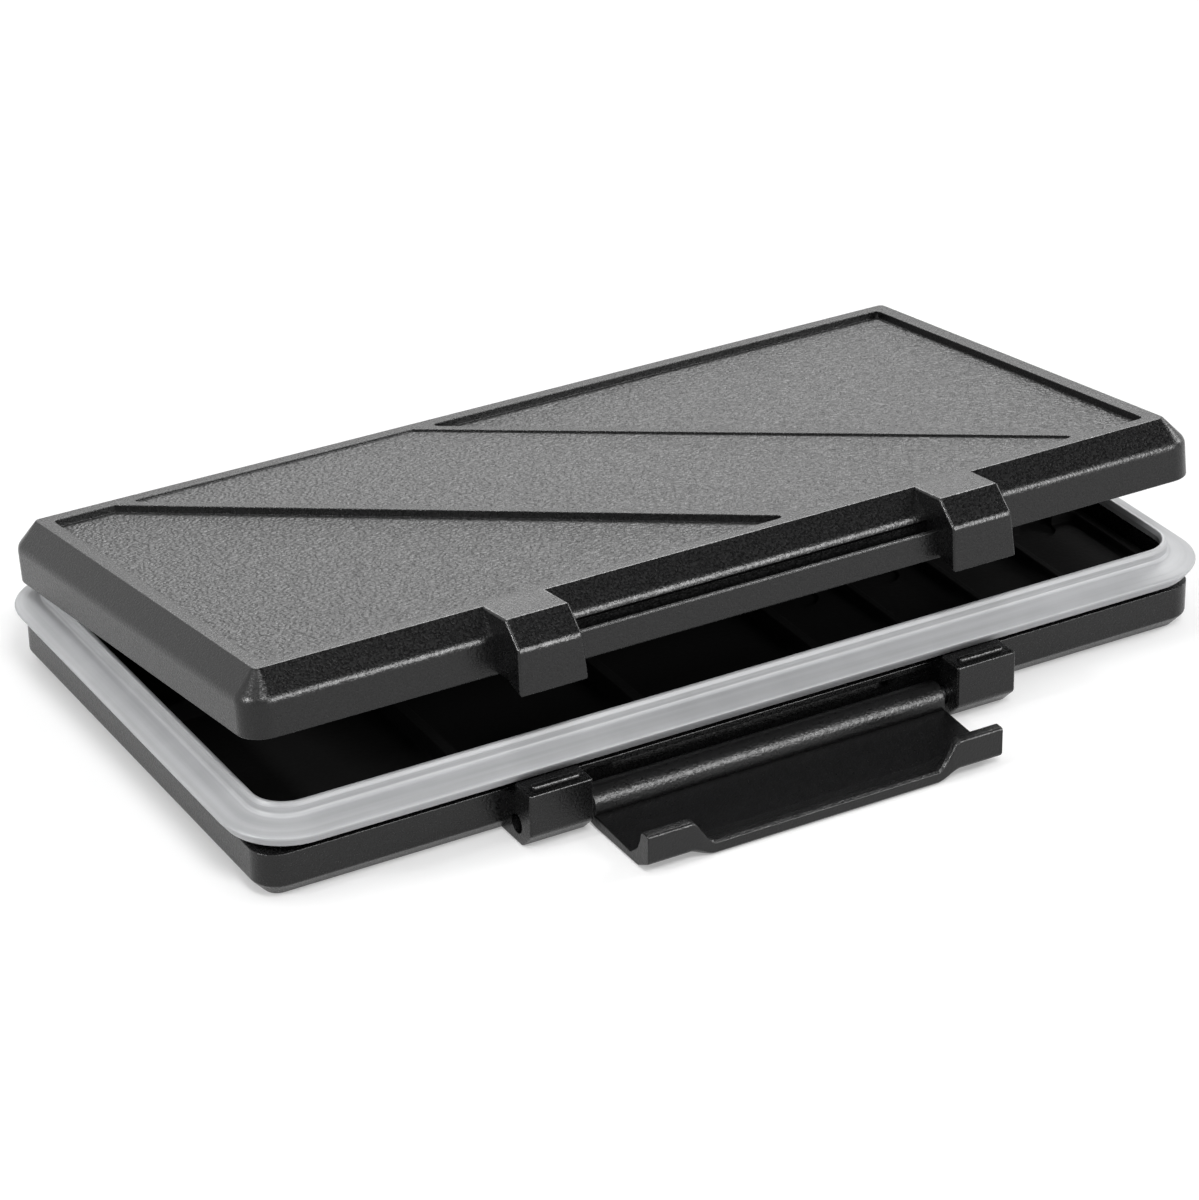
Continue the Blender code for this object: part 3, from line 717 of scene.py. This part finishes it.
def makeArms():
    s = hingeSizes
    hingeY = caseSizes["hingeY"]
    hingeZ = caseSizes["hingeZ"]
    radius = s["knuckleRadius"]
    inWall = rearWall - meshRules["wallBite"]
    outline = []
    for step in range(s["armSteps"] + 1):
        angle = math.pi * (1 + step / s["armSteps"])
        outline.append((hingeY + radius * math.cos(angle), hingeZ + radius * math.sin(angle), 0))
    outline += [
        (hingeY + radius, hingeZ + s["armShoulder"], s["shoulderRound"]),
        (rearWall, s["armTop"], 0),
        (inWall, s["armTop"], 0),
        (inWall, s["armSeat"], 0),
        (hingeY - radius, s["armSeat"], s["seatRound"]),
    ]
    half = s["armWidth"] / 2
    arms = []
    for side in (-1, 1):
        middle = side * s["spacing"] / 2
        arms.append(bevelledPrism("arm", outline, middle - half, middle + half, s["edge"], segments=2))
    return arms


def makeLid():
    lid = makeLidRing()
    combine(lid, makeLugs() + makeArms(), "UNION")
    combine(lid, [makeBar()], "UNION")
    combine(lid, [makeNoseCutter()], "DIFFERENCE")
    depths = (lidSizes["shallowPanel"], lidSizes["deepPanel"], lidSizes["deepPanel"])
    cutters = [makePanelCutter(outline, depth) for outline, depth in zip(panelOutlines(), depths)]
    combine(lid, cutters, "DIFFERENCE")
    combine(lid, [axleBar("armBore", "hinge", hingeSizes["bore"], caseSizes["length"] / 2)], "DIFFERENCE")
    finishPiece(lid, "lid", ["lid_shell"])


makeLid()


baseSizes = {
    "floor": 1.6,
    "wallTop": 6.35,
    "chamferHeight": 2.0,
    "chamferInset": 1.8,
    "corner": 3.5,
    "sealCorner": 6.5,
    "rimInset": 1.75,
    "rimInner": 2.55,
    "rimTop": 10.0,
    "blockTop": 8.05,
    "blockChamfer": 2.4,
    "blockStepY": 2.0,
    "blockStepTop": 6.1,
    "blockEdge": 0.3,
    "ridgeInset": 1.1,
    "ridgeY": 4.2,
    "ridgeHalf": 0.55,
    "ridgeRise": 0.45,
    "slotHalf": 20.0,      # slot in the wall above and behind the latch's barrel
    "slotLow": 4.3,
    "slotHigh": 5.25,
    "slotDeep": 1.7,
    "bottomCap": 2.0,      # how far in from their edges the flat underside and floor are closed
    "floorCap": 1.5,
    "bottomRound": 0.5,
    "chamferRound": 0.6,
    "wallRound": 0.12,
    "ledgeRound": 0.15,
    "rimRound": 0.25,
    "floorRound": 0.3,
    "blockRoot": 2.2,      # how far the blocks run back into the base
    "blockFootRound": 0.35,
    "blockBendRound": 0.45,
    "blockTopRound": 0.28,
    "blockStepRound": 0.2,
    "ridgeSink": 0.5,
    "ridgeRound": 0.4,
    "ridgeEnd": 0.3,
    "roomDeep": 0.5,       # hollow in the wall that the latch's barrel turns in
    "roomLow": 0.8,
    "roomHigh": 5.55,
}


def makeBaseRing():
    s = baseSizes
    profile = [
        (s["chamferInset"] + s["bottomCap"], 0, 0, s["corner"]),
        (s["chamferInset"], 0, s["bottomRound"], s["corner"]),
        (0, s["chamferHeight"], s["chamferRound"], s["corner"]),
        (0, s["wallTop"], s["wallRound"], s["corner"]),
        (s["rimInset"], s["wallTop"], s["ledgeRound"], s["sealCorner"]),
        (s["rimInset"], s["rimTop"], s["rimRound"], s["sealCorner"]),
        (s["rimInner"], s["rimTop"], s["rimRound"], s["sealCorner"]),
        (s["rimInner"], s["floor"], s["floorRound"], s["sealCorner"]),
        (s["rimInner"] + s["floorCap"], s["floor"], 0, s["sealCorner"]),
    ]
    rows = [ringPoints(*point) for point in roundedOutline(profile, steps=5, closed=False)]
    return loftRows("baseShell", rows, [shellPlastic])


def makeBlocks():
    s = baseSizes
    front = frontWall - catchSizes["reach"]
    back = frontWall + s["blockRoot"]
    stepY = frontWall - s["blockStepY"]
    outline = [
        (back, 0.0, 0),
        (front + s["blockChamfer"], 0.0, s["blockFootRound"]),
        (front, s["blockChamfer"], s["blockBendRound"]),
        (front, s["blockTop"], s["blockTopRound"]),
        (stepY, s["blockTop"], s["blockStepRound"]),
        (stepY, s["blockStepTop"], 0),
        (back, s["blockStepTop"], 0),
    ]
    ridgeFront = frontWall - s["ridgeY"] - s["ridgeHalf"]
    ridgeBack = frontWall - s["ridgeY"] + s["ridgeHalf"]
    ridge = [
        (ridgeFront, s["blockTop"] - s["ridgeSink"], 0),
        (ridgeFront, s["blockTop"] + s["ridgeRise"], s["ridgeRound"]),
        (ridgeBack, s["blockTop"] + s["ridgeRise"], s["ridgeRound"]),
        (ridgeBack, s["blockTop"] - s["ridgeSink"], 0),
    ]
    blocks = []
    ridges = []
    for low, high in catchSpans:
        blocks.append(bevelledPrism("block", outline, low, high, s["blockEdge"], plainSides=(5, 6)))
        ridges.append(bevelledPrism("ridge", ridge, low + s["ridgeInset"], high - s["ridgeInset"], s["ridgeEnd"]))
    return blocks, ridges


def makeKnuckles():
    s = hingeSizes
    hingeY = caseSizes["hingeY"]
    hingeZ = caseSizes["hingeZ"]
    radius = s["knuckleRadius"]
    inWall = rearWall - s["webBite"]
    web = [
        (inWall, s["webTop"] - s["webDrop"], 0),
        (rearWall, s["webTop"] - s["webDrop"], 0),
        (hingeY + radius, hingeZ - s["webOuterDrop"], s["webRound"]),
        (hingeY + radius, hingeZ, 0),
        (hingeY, hingeZ, 0),
        (hingeY - radius * math.sqrt(0.5), s["webTop"], 0),
        (inWall, s["webTop"], 0),
    ]
    near = s["armWidth"] / 2 + s["gap"]
    width = s["knuckleWidth"]
    knuckles = []
    for side in (-1, 1):
        middle = side * s["spacing"] / 2
        spans = ((middle - near - width, middle - near), (middle + near, middle + near + width))
        for low, high in spans:
            knuckle = bevelledPrism("knuckle", web, low, high, s["webEdge"], segments=2)
            barrel = roundBar("barrel", hingeY, hingeZ, radius, low, high, endRound=s["barrelEdge"])
            combine(knuckle, [barrel], "UNION")
            knuckles.append(knuckle)
    return knuckles


def makeBase():
    s = baseSizes
    base = makeBaseRing()
    for tools in (*makeBlocks(), makeKnuckles()):
        combine(base, tools, "UNION")
    outside = frontWall - meshRules["overrun"]
    room = boxOutline(outside, frontWall + s["roomDeep"], s["roomLow"], s["roomHigh"])
    end = caseSizes["catchHalf"] - meshRules["sideGap"]
    combine(base, [bevelledPrism("barrelRoom", room, -end, end, 0)], "DIFFERENCE")
    slot = boxOutline(frontWall, frontWall + s["slotDeep"], s["slotLow"], s["slotHigh"])
    combine(base, [bevelledPrism("wallSlot", slot, -s["slotHalf"], s["slotHalf"], 0)], "DIFFERENCE")
    end = caseSizes["catchOuter"] + meshRules["overrun"]
    latchBore = axleBar("latchBore", "latch", caseSizes["latchBore"], end)
    hingeBore = axleBar("hingeBore", "hinge", hingeSizes["bore"], caseSizes["length"] / 2)
    combine(base, [latchBore, hingeBore], "DIFFERENCE")
    finishPiece(base, "base", ["base_shell"])


makeBase()


# The seal is swept round the rim by Geometry Nodes
sealSizes = {
    "corner": 6.5,
    "cornerSteps": 14,
    "profile": [          # (inside the wall plane, height, rounding)
        (1.45, 6.65, 0),
        (0.45, 6.65, 0.2),
        (0.0, 7.05, 0.3),
        (-1.3, 7.7, 0.3),
        (-1.95, 8.62, 0.1),
        (-1.98, 8.78, 0.05),
        (-2.14, 8.82, 0.05),
        (-2.34, 9.22, 0.22),
        (-2.0, 9.42, 0.2),
        (-1.0, 9.68, 0.8),
        (0.3, 9.94, 0.8),
        (1.1, 10.12, 0.5),
        (1.42, 10.5, 0.3),
        (1.45, 11.3, 0.25),
        (1.75, 11.8, 0.28),
        (2.2, 11.8, 0.24),
        (2.45, 11.2, 0.3),
        (2.3, 10.3, 0.1),
        (1.45, 10.3, 0),
    ],
}


def startTree(name, inputs, result):
    # An empty Geometry Nodes tree with its named inputs and one geometry output
    tree = bpy.data.node_groups.new(name, "GeometryNodeTree")
    for label, kind in inputs.items():
        tree.interface.new_socket(label, in_out="INPUT", socket_type="NodeSocket" + kind)
    tree.interface.new_socket(result, in_out="OUTPUT", socket_type="NodeSocketGeometry")
    return tree, addNode(tree, "NodeGroupInput").outputs


def makeSealTree(material):
    # A rounded rectangle swept with the seal's profile
    inputs = {"Profile": "Object", "Length": "Float", "Depth": "Float",
              "Corner Radius": "Float", "Corner Steps": "Int"}
    tree, given = startTree("sealSweep", inputs, "Seal")
    path = addNode(tree, "GeometryNodeCurvePrimitiveQuadrilateral", {"mode": "RECTANGLE"},
                   {"Width": given["Length"], "Height": given["Depth"]})
    rounded = addNode(tree, "GeometryNodeFilletCurve", {"mode": "POLY"},
                      {"Curve": path.outputs["Curve"], "Radius": given["Corner Radius"],
                       "Count": given["Corner Steps"]})
    section = addNode(tree, "GeometryNodeObjectInfo", {"transform_space": "ORIGINAL"}, {"Object": given["Profile"]})
    sweep = addNode(tree, "GeometryNodeCurveToMesh", {},
                    {"Curve": rounded.outputs["Curve"], "Profile Curve": section.outputs["Geometry"]})
    real = addNode(tree, "GeometryNodeRealizeInstances", {}, {"Geometry": sweep.outputs["Mesh"]})
    dressed = addNode(tree, "GeometryNodeSetMaterial", {"Material": material}, {"Geometry": real.outputs["Geometry"]})
    addNode(tree, "NodeGroupOutput", {}, {"Seal": dressed.outputs["Geometry"]})
    return tree


def runTree(piece, tree, values):
    # Sets the named inputs by their identifiers, then keeps the result as a plain mesh
    growth = piece.modifiers.new("growth", "NODES")
    growth.node_group = tree
    for socket in tree.interface.items_tree:
        if socket.in_out == "INPUT" and socket.name in values:
            growth[socket.identifier] = values[socket.name]
    applyModifiers(piece)


def makeSealProfile():
    curve = bpy.data.curves.new("sealProfile", "CURVE")
    curve.dimensions = "3D"
    points = roundedOutline(sealSizes["profile"], steps=4)
    line = curve.splines.new("POLY")
    line.points.add(len(points) - 1)
    for spot, (inset, height) in zip(line.points, points):
        spot.co = (-inset * toMetres, -height * toMetres, 0, 1)
    line.use_cyclic_u = True
    return newObject("sealProfile", curve)


def makeSeal():
    profile = makeSealProfile()
    seal = newObject("sealRing", bpy.data.meshes.new("sealRing"))
    values = {
        "Profile": profile,
        "Length": caseSizes["length"] * toMetres,
        "Depth": caseSizes["depth"] * toMetres,
        "Corner Radius": sealSizes["corner"] * toMetres,
        "Corner Steps": sealSizes["cornerSteps"],
    }
    runTree(seal, makeSealTree(silicone), values)
    bpy.data.objects.remove(profile)
    finishPiece(seal, "base", ["gasket_seal"])


makeSeal()


latchSizes = {
    "halfWidth": 25.3,
    "barrelRadius": 2.2,
    "plateOuter": 2.5,
    "plateInnerStart": 0.93,
    "plateStart": 2.8,
    "hookWidth": 6.0,
    "hookBlend": 3.4,
    "endRound": 0.16,
    "barrelSteps": 32,
    "blendSteps": 16,
    "endSteps": 3,
    "hooked": [           # (towards the case, up from the pin, rounding), drawn shut
        (-1.4, 10.6, 0.5),
        (-0.15, 12.15, 0.4),
        (1.25, 12.867, 0.25),
        (2.4, 13.1, 0.2),
        (2.7, 13.6, 0.25),
        (2.7, 14.9, 0.4),
        (-1.15, 14.9, 0.7),
        (-2.5, 12.3, 0.9),
    ],
    "plain": [
        (-1.4, 11.3, 0.5),
        (-1.05, 13.1, 0.3),
        (-0.7, 13.8, 0.2),
        (-0.7, 14.05, 0.1),
        (-0.7, 14.6, 0.1),
        (-1.0, 14.9, 0.15),
        (-2.2, 14.9, 0.15),
        (-2.5, 14.6, 0.15),
    ],
}


def latchSection(x, hookShare, inward=0.0):
    # The latch's outline at one place along X, opened out in front of the case
    s = latchSizes
    radius = s["barrelRadius"]
    startAngle = math.asin(s["plateInnerStart"] / radius) + math.pi
    outline = []
    for step in range(s["barrelSteps"] + 1):
        angle = -math.pi / 2 + step / s["barrelSteps"] * (startAngle + math.pi / 2)
        outline.append((radius * math.cos(angle), radius * math.sin(angle), 0))
    outline.append((-s["plateStart"], -s["plateInnerStart"], 0))
    for hooked, plain in zip(s["hooked"], s["plain"]):
        toward, up, rounding = [hookShare * h + (1 - hookShare) * p for h, p in zip(hooked, plain)]
        outline.append((-up, toward, rounding))
    outline.append((-radius, -s["plateOuter"], 0))
    points = roundedOutline(outline, steps=4)
    if inward:
        points = pulledIn(points, inward)
    return [(x, caseSizes["latchY"] + y, caseSizes["latchZ"] + z) for y, z in points]


def pulledIn(points, distance):
    # Moves each point of a fine anticlockwise outline inward
    moved = []
    for index, point in enumerate(points):
        along = Vector(points[(index + 1) % len(points)]) - Vector(points[index - 1])
        moved.append(tuple(Vector(point) + Vector((-along.y, along.x)).normalized() * distance))
    return moved


def makeLatch():
    s = latchSizes
    half = s["halfWidth"]
    blendStart = half - s["hookWidth"] - s["hookBlend"]
    stations = []
    for step in range(s["blendSteps"] + 1):
        share = step / s["blendSteps"]
        eased = share * share * (3 - 2 * share)
        stations.append((blendStart + share * s["hookBlend"], eased, 0))
    for step in range(s["endSteps"] + 1):
        angle = step / s["endSteps"] * math.pi / 2
        stations.append((half - s["endRound"] * (1 - math.sin(angle)), 1, s["endRound"] * (1 - math.cos(angle))))
    stations = [(-x, share, inward) for x, share, inward in reversed(stations)] + stations
    latch = loftRows("latchFlap", [latchSection(*station) for station in stations], [latchPlastic])
    bore = axleBar("barrelBore", "latch", caseSizes["latchBore"], half + meshRules["overrun"])
    combine(latch, [bore], "DIFFERENCE")
    finishPiece(latch, "latch", ["latch"])


makeLatch()

pinSizes = {
    "latchRadius": 1.0,
    "latchRecess": 1.0,
    "hingeRadius": 0.85,
    "hingeRecess": 0.3,
    "endRound": 0.2,
}


def makePin(name, axle, lowX, highX, node):
    radius = pinSizes[axle + "Radius"] - meshRules["hair"]
    spot = (caseSizes[axle + "Y"], caseSizes[axle + "Z"])
    pin = roundBar(name, *spot, radius, lowX, highX, endRound=pinSizes["endRound"])
    pin.data.materials.append(pinSteel)
    finishPiece(pin, "base", [node])


def makePins():
    s = pinSizes
    end = caseSizes["catchOuter"] - s["latchRecess"]
    makePin("latchPin", "latch", -end, end, "latch_pin")
    half = hingeSizes["armWidth"] / 2 + hingeSizes["gap"] + hingeSizes["knuckleWidth"] - s["hingeRecess"]
    for name, side, node in (("hingePinLeft", -1, "hinge_pin_left"), ("hingePinRight", 1, "hinge_pin_right")):
        middle = side * hingeSizes["spacing"] / 2
        makePin(name, "hinge", middle - half, middle + half, node)


makePins()

traySizes = {
    "base": {"inset": 2.86, "corner": 6.5, "back": 1.91, "deck": 8.29},
    "lid": {"inset": 3.31, "corner": 4.5, "back": 15.69, "deck": 12.21},
    "edge": 0.3,
    "rimRound": 0.22,
    "floorRound": 0.3,
    "rimTurn": 22,        # degrees for each step of the rim's round, and of the floor's
    "floorTurn": 30,
    # each grid has its columns and rows, their spacing and the middle of its field
    "pockets": (
        {"width": 24.4, "length": 32.1, "corner": 1.0, "depth": 2.4,
         "columns": 3, "rows": 2, "spacing": (26.0, 32.9), "middle": (-25.0, 0)},
        {"width": 11.4, "length": 15.4, "corner": 1.0, "depth": 1.4,
         "columns": 4, "rows": 3, "spacing": (12.4, 21.667), "middle": (38.9, 0)},
    ),
    "fingerWells": (
        {"width": 10.0, "length": 10.0, "corner": 4.7, "depth": 2.9,
         "columns": 3, "rows": 1, "spacing": (26.0, 0), "middle": (-25.0, 0)},
        {"width": 5.2, "length": 5.2, "corner": 2.4, "depth": 1.7,
         "columns": 4, "rows": 3, "spacing": (12.4, 21.667), "middle": (38.9, 7.7)},
    ),
}


def makePocketTree(material):
    # One pocket cutter set out on a grid
    inputs = {"Cutter": "Object", "Columns": "Int", "Rows": "Int",
              "Span X": "Float", "Span Y": "Float", "Middle": "Vector"}
    tree, given = startTree("pocketGrid", inputs, "Cutters")
    spots = addNode(tree, "GeometryNodeMeshGrid", {},
                    {"Size X": given["Span X"], "Size Y": given["Span Y"],
                     "Vertices X": given["Columns"], "Vertices Y": given["Rows"]})
    cutter = addNode(tree, "GeometryNodeObjectInfo", {"transform_space": "ORIGINAL"}, {"Object": given["Cutter"]})
    placed = addNode(tree, "GeometryNodeInstanceOnPoints", {},
                     {"Points": spots.outputs["Mesh"], "Instance": cutter.outputs["Geometry"]})
    real = addNode(tree, "GeometryNodeRealizeInstances", {}, {"Geometry": placed.outputs["Instances"]})
    moved = addNode(tree, "GeometryNodeTransform", {},
                    {"Geometry": real.outputs["Geometry"], "Translation": given["Middle"]})
    dressed = addNode(tree, "GeometryNodeSetMaterial", {"Material": material},
                      {"Geometry": moved.outputs["Geometry"]})
    addNode(tree, "NodeGroupOutput", {}, {"Cutters": dressed.outputs["Geometry"]})
    return tree


def makePocketCutter(pocket, sign):
    # Rounded floor, upright wall and a rounded rim, cut down into a deck at height zero, or up where the sign is -1
    s = traySizes
    halfX = pocket["width"] / 2
    halfY = pocket["length"] / 2
    outline = [(-halfX, -halfY), (halfX, -halfY), (halfX, halfY), (-halfX, halfY)]
    offsets = []
    for degrees in range(0, 91, s["floorTurn"]):
        angle = math.radians(degrees)
        inward = s["floorRound"] * (1 - math.sin(angle))
        offsets.append((inward, s["floorRound"] * (1 - math.cos(angle)) - pocket["depth"]))
    for degrees in range(0, 91, s["rimTurn"]):
        angle = math.radians(degrees)
        offsets.append((-s["rimRound"] * (1 - math.cos(angle)), s["rimRound"] * (math.sin(angle) - 1)))
    offsets.append((offsets[-1][0], meshRules["overrun"]))
    rows = []
    for inward, rise in offsets:
        level = shiftedOutline(outline, [inward] * 4, pocket["corner"], steps=6)
        rows.append([(x, y, sign * rise) for x, y in level])
    return loftRows("pocketCutter", rows)


def makePocketTools(pockets, deck, sign, tree):
    tools = []
    for pocket in pockets:
        cutter = makePocketCutter(pocket, sign)
        tool = newObject("pocketTool", bpy.data.meshes.new("pocketTool"))
        values = {
            "Cutter": cutter,
            "Columns": pocket["columns"],
            "Rows": pocket["rows"],
            "Span X": pocket["spacing"][0] * (pocket["columns"] - 1) * toMetres,
            "Span Y": pocket["spacing"][1] * (pocket["rows"] - 1) * toMetres,
            "Middle": Vector((*pocket["middle"], deck)) * toMetres,
        }
        runTree(tool, tree, values)
        bpy.data.objects.remove(cutter)
        tools.append(tool)
    return tools


def makeTray(name, body, node, tree):
    s = traySizes[body]
    sign = 1 if s["deck"] > s["back"] else -1
    profile = [
        (s["inset"] + meshRules["overrun"], s["back"], 0, s["corner"]),
        (s["inset"], s["back"], traySizes["edge"], s["corner"]),
        (s["inset"], s["deck"], traySizes["edge"], s["corner"]),
        (s["inset"] + meshRules["overrun"], s["deck"], 0, s["corner"]),
    ]
    rows = [ringPoints(*point) for point in roundedOutline(profile, steps=4, closed=False)]
    tray = loftRows(name, rows, [trayRubber])
    for cuts in ("pockets", "fingerWells"):
        combine(tray, makePocketTools(traySizes[cuts], s["deck"], sign, tree), "DIFFERENCE")
    finishPiece(tray, body, [node])


pocketTree = makePocketTree(trayRubber)
makeTray("baseTray", "base", "base_card_tray", pocketTree)
makeTray("lidTray", "lid", "lid_card_tray", pocketTree)


cameraPlace = {
    "azimuth": -29.112,
    "elevation": 27.862,
    "roll": -1.053,
    "spot": (-242.527, -433.047, 268.251),
    "lens": 129.532,
    "sensor": 36,
    "nearest": 0.01,         # metres, as the farthest
    "farthest": 20,
}


def makeCamera():
    s = cameraPlace
    azimuth, elevation, roll = [math.radians(s[key]) for key in ("azimuth", "elevation", "roll")]
    level = math.cos(elevation)
    back = Vector((math.sin(azimuth) * level, -math.cos(azimuth) * level, math.sin(elevation)))
    right = Vector((0, 0, 1)).cross(back).normalized()
    up = back.cross(right)
    leaned = right * math.cos(roll) + up * math.sin(roll)
    facing = Matrix((leaned, back.cross(leaned), back)).transposed().to_4x4()
    camera = newObject("photoCamera", bpy.data.cameras.new("photoCamera"))
    camera.matrix_world = Matrix.Translation(Vector(s["spot"]) * toMetres) @ facing
    camera.data.sensor_width = s["sensor"]
    camera.data.sensor_fit = "HORIZONTAL"
    camera.data.lens = s["lens"]
    camera.data.clip_start = s["nearest"]
    camera.data.clip_end = s["farthest"]
    bpy.context.scene.camera = camera


studio = {
    "floorHalf": 4.0,        # metres
    "floorColour": "#dcdcdc",
    "floorRoughness": 0.9,
    "floorLift": 0.3,
    "floorNear": 0.3,      # metres; from here to floorFar the floor grows lighter, since the lamps fall off
    "floorFar": 1.4,
    "farLift": 2.2,
    "worldDiffuse": 0.5,
    # name: place and target in metres, width and height, power, and whether it lights or only shows as a reflection
    "lamps": {
        "overheadSoftbox": ((-0.3, 0.3, 1.15), (0, 0, 0), 0.8, 0.8, 2.5, True),
        "frontSoftbox": ((-0.12, -0.7, 1.0), (0, 0, 0), 0.4, 0.4, 8.0, True),
        "sideSoftbox": ((-0.86, -0.06, 0.52), (0, 0, 0.015), 0.1, 0.1, 1.6, True),
        "lineSoftbox": ((-0.86, -0.06, 0.52), (0, 0, 0.015), 0.14, 0.14, 9.0, False),
        "rightSoftbox": ((0.88, -0.1, 0.4), (0, 0, 0), 0.3, 0.3, 3.0, True),
        "backSoftbox": ((0.5, 0.85, 0.84), (0, 0, 0.02), 0.8, 0.5, 19.0, False),
        "edgeSoftbox": ((0.37, -0.82, 0.41), (0, 0, 0.015), 0.42, 0.3, 9.0, False),
    },
    "topFlag": ((0.4, -0.32, 0.78), (0, 0, 0.015), 0.9, 0.72),
    "flagColour": "#0a0a0a",
    "flagRoughness": 0.5,
}


def seenStrength(tree, plain, seen):
    # The strength that the camera, reflections and see-through rays meet, against the plain one
    path = addNode(tree, "ShaderNodeLightPath")
    either = addNode(tree, "ShaderNodeMath", {"operation": "MAXIMUM"},
                     {0: path.outputs["Is Camera Ray"], 1: path.outputs["Is Glossy Ray"]})
    anyRay = addNode(tree, "ShaderNodeMath", {"operation": "MAXIMUM"},
                     {0: either.outputs[0], 1: path.outputs["Is Transmission Ray"]})
    strength = addNode(tree, "ShaderNodeMapRange", {"To Min": plain, "To Max": seen}, {"Value": anyRay.outputs[0]})
    return strength.outputs["Result"]


def makeWorld():
    world = bpy.data.worlds.new("whiteStudio")
    bpy.context.scene.world = world
    world.use_nodes = True
    tree = world.node_tree
    tree.nodes["Background"].inputs["Color"].default_value = (1, 1, 1, 1)
    tree.links.new(seenStrength(tree, studio["worldDiffuse"], 1.0), tree.nodes["Background"].inputs["Strength"])


def makeFloor():
    half = studio["floorHalf"]
    mesh = bpy.data.meshes.new("studioFloor")
    mesh.from_pydata([(-half, -half, 0), (half, -half, 0), (half, half, 0), (-half, half, 0)], [], [(0, 1, 2, 3)])
    floor = newObject("studioFloor", mesh)
    material, tree, shader, place = startMaterial("paleFloor", studio["floorColour"], studio["floorRoughness"], 0.0)
    shader.inputs["Emission Color"].default_value = (1, 1, 1, 1)
    away = addNode(tree, "ShaderNodeVectorMath", {"operation": "LENGTH"}, {0: place})
    near, far = studio["floorNear"], studio["floorFar"]
    grow = addNode(tree, "ShaderNodeMapRange",
                   {"From Min": near, "From Max": far, "To Min": 1.0, "To Max": studio["farLift"]},
                   {"Value": away.outputs["Value"]})
    lift = addNode(tree, "ShaderNodeMath", {"operation": "MULTIPLY"},
                   {0: seenStrength(tree, 0.0, studio["floorLift"]), 1: grow.outputs["Result"]})
    tree.links.new(lift.outputs["Value"], shader.inputs["Emission Strength"])
    mesh.materials.append(material)


def addLamp(name, spot, target, width, height, power, lights):
    lamp = newObject(name, bpy.data.lights.new(name, "AREA"))
    lamp.data.shape = "RECTANGLE"
    lamp.data.size = width
    lamp.data.size_y = height
    lamp.data.energy = power
    lamp.location = spot
    lamp.rotation_euler = (Vector(target) - Vector(spot)).to_track_quat("-Z", "Y").to_euler()
    lamp.visible_diffuse = lights


def addFlag(name, spot, target, width, height):
    # A black card that keeps light off what faces it
    aim = (Vector(target) - Vector(spot)).to_track_quat("-Z", "Y").to_matrix().to_4x4()
    corners = [(x * width / 2, y * height / 2, 0) for x, y in ((-1, -1), (1, -1), (1, 1), (-1, 1))]
    mesh = bpy.data.meshes.new(name)
    mesh.from_pydata([Matrix.Translation(spot) @ aim @ Vector(corner) for corner in corners], [], [(0, 1, 2, 3)])
    material = startMaterial("blackCard", studio["flagColour"], studio["flagRoughness"], 0.0)[0]
    mesh.materials.append(material)
    flag = newObject(name, mesh)
    flag.visible_diffuse = False


makeCamera()
makeWorld()
makeFloor()
for lampName, lampValues in studio["lamps"].items():
    addLamp(lampName, *lampValues)
addFlag("topFlag", *studio["topFlag"])
bpy.context.scene.view_settings.view_transform = "Standard"
print("studio ready")
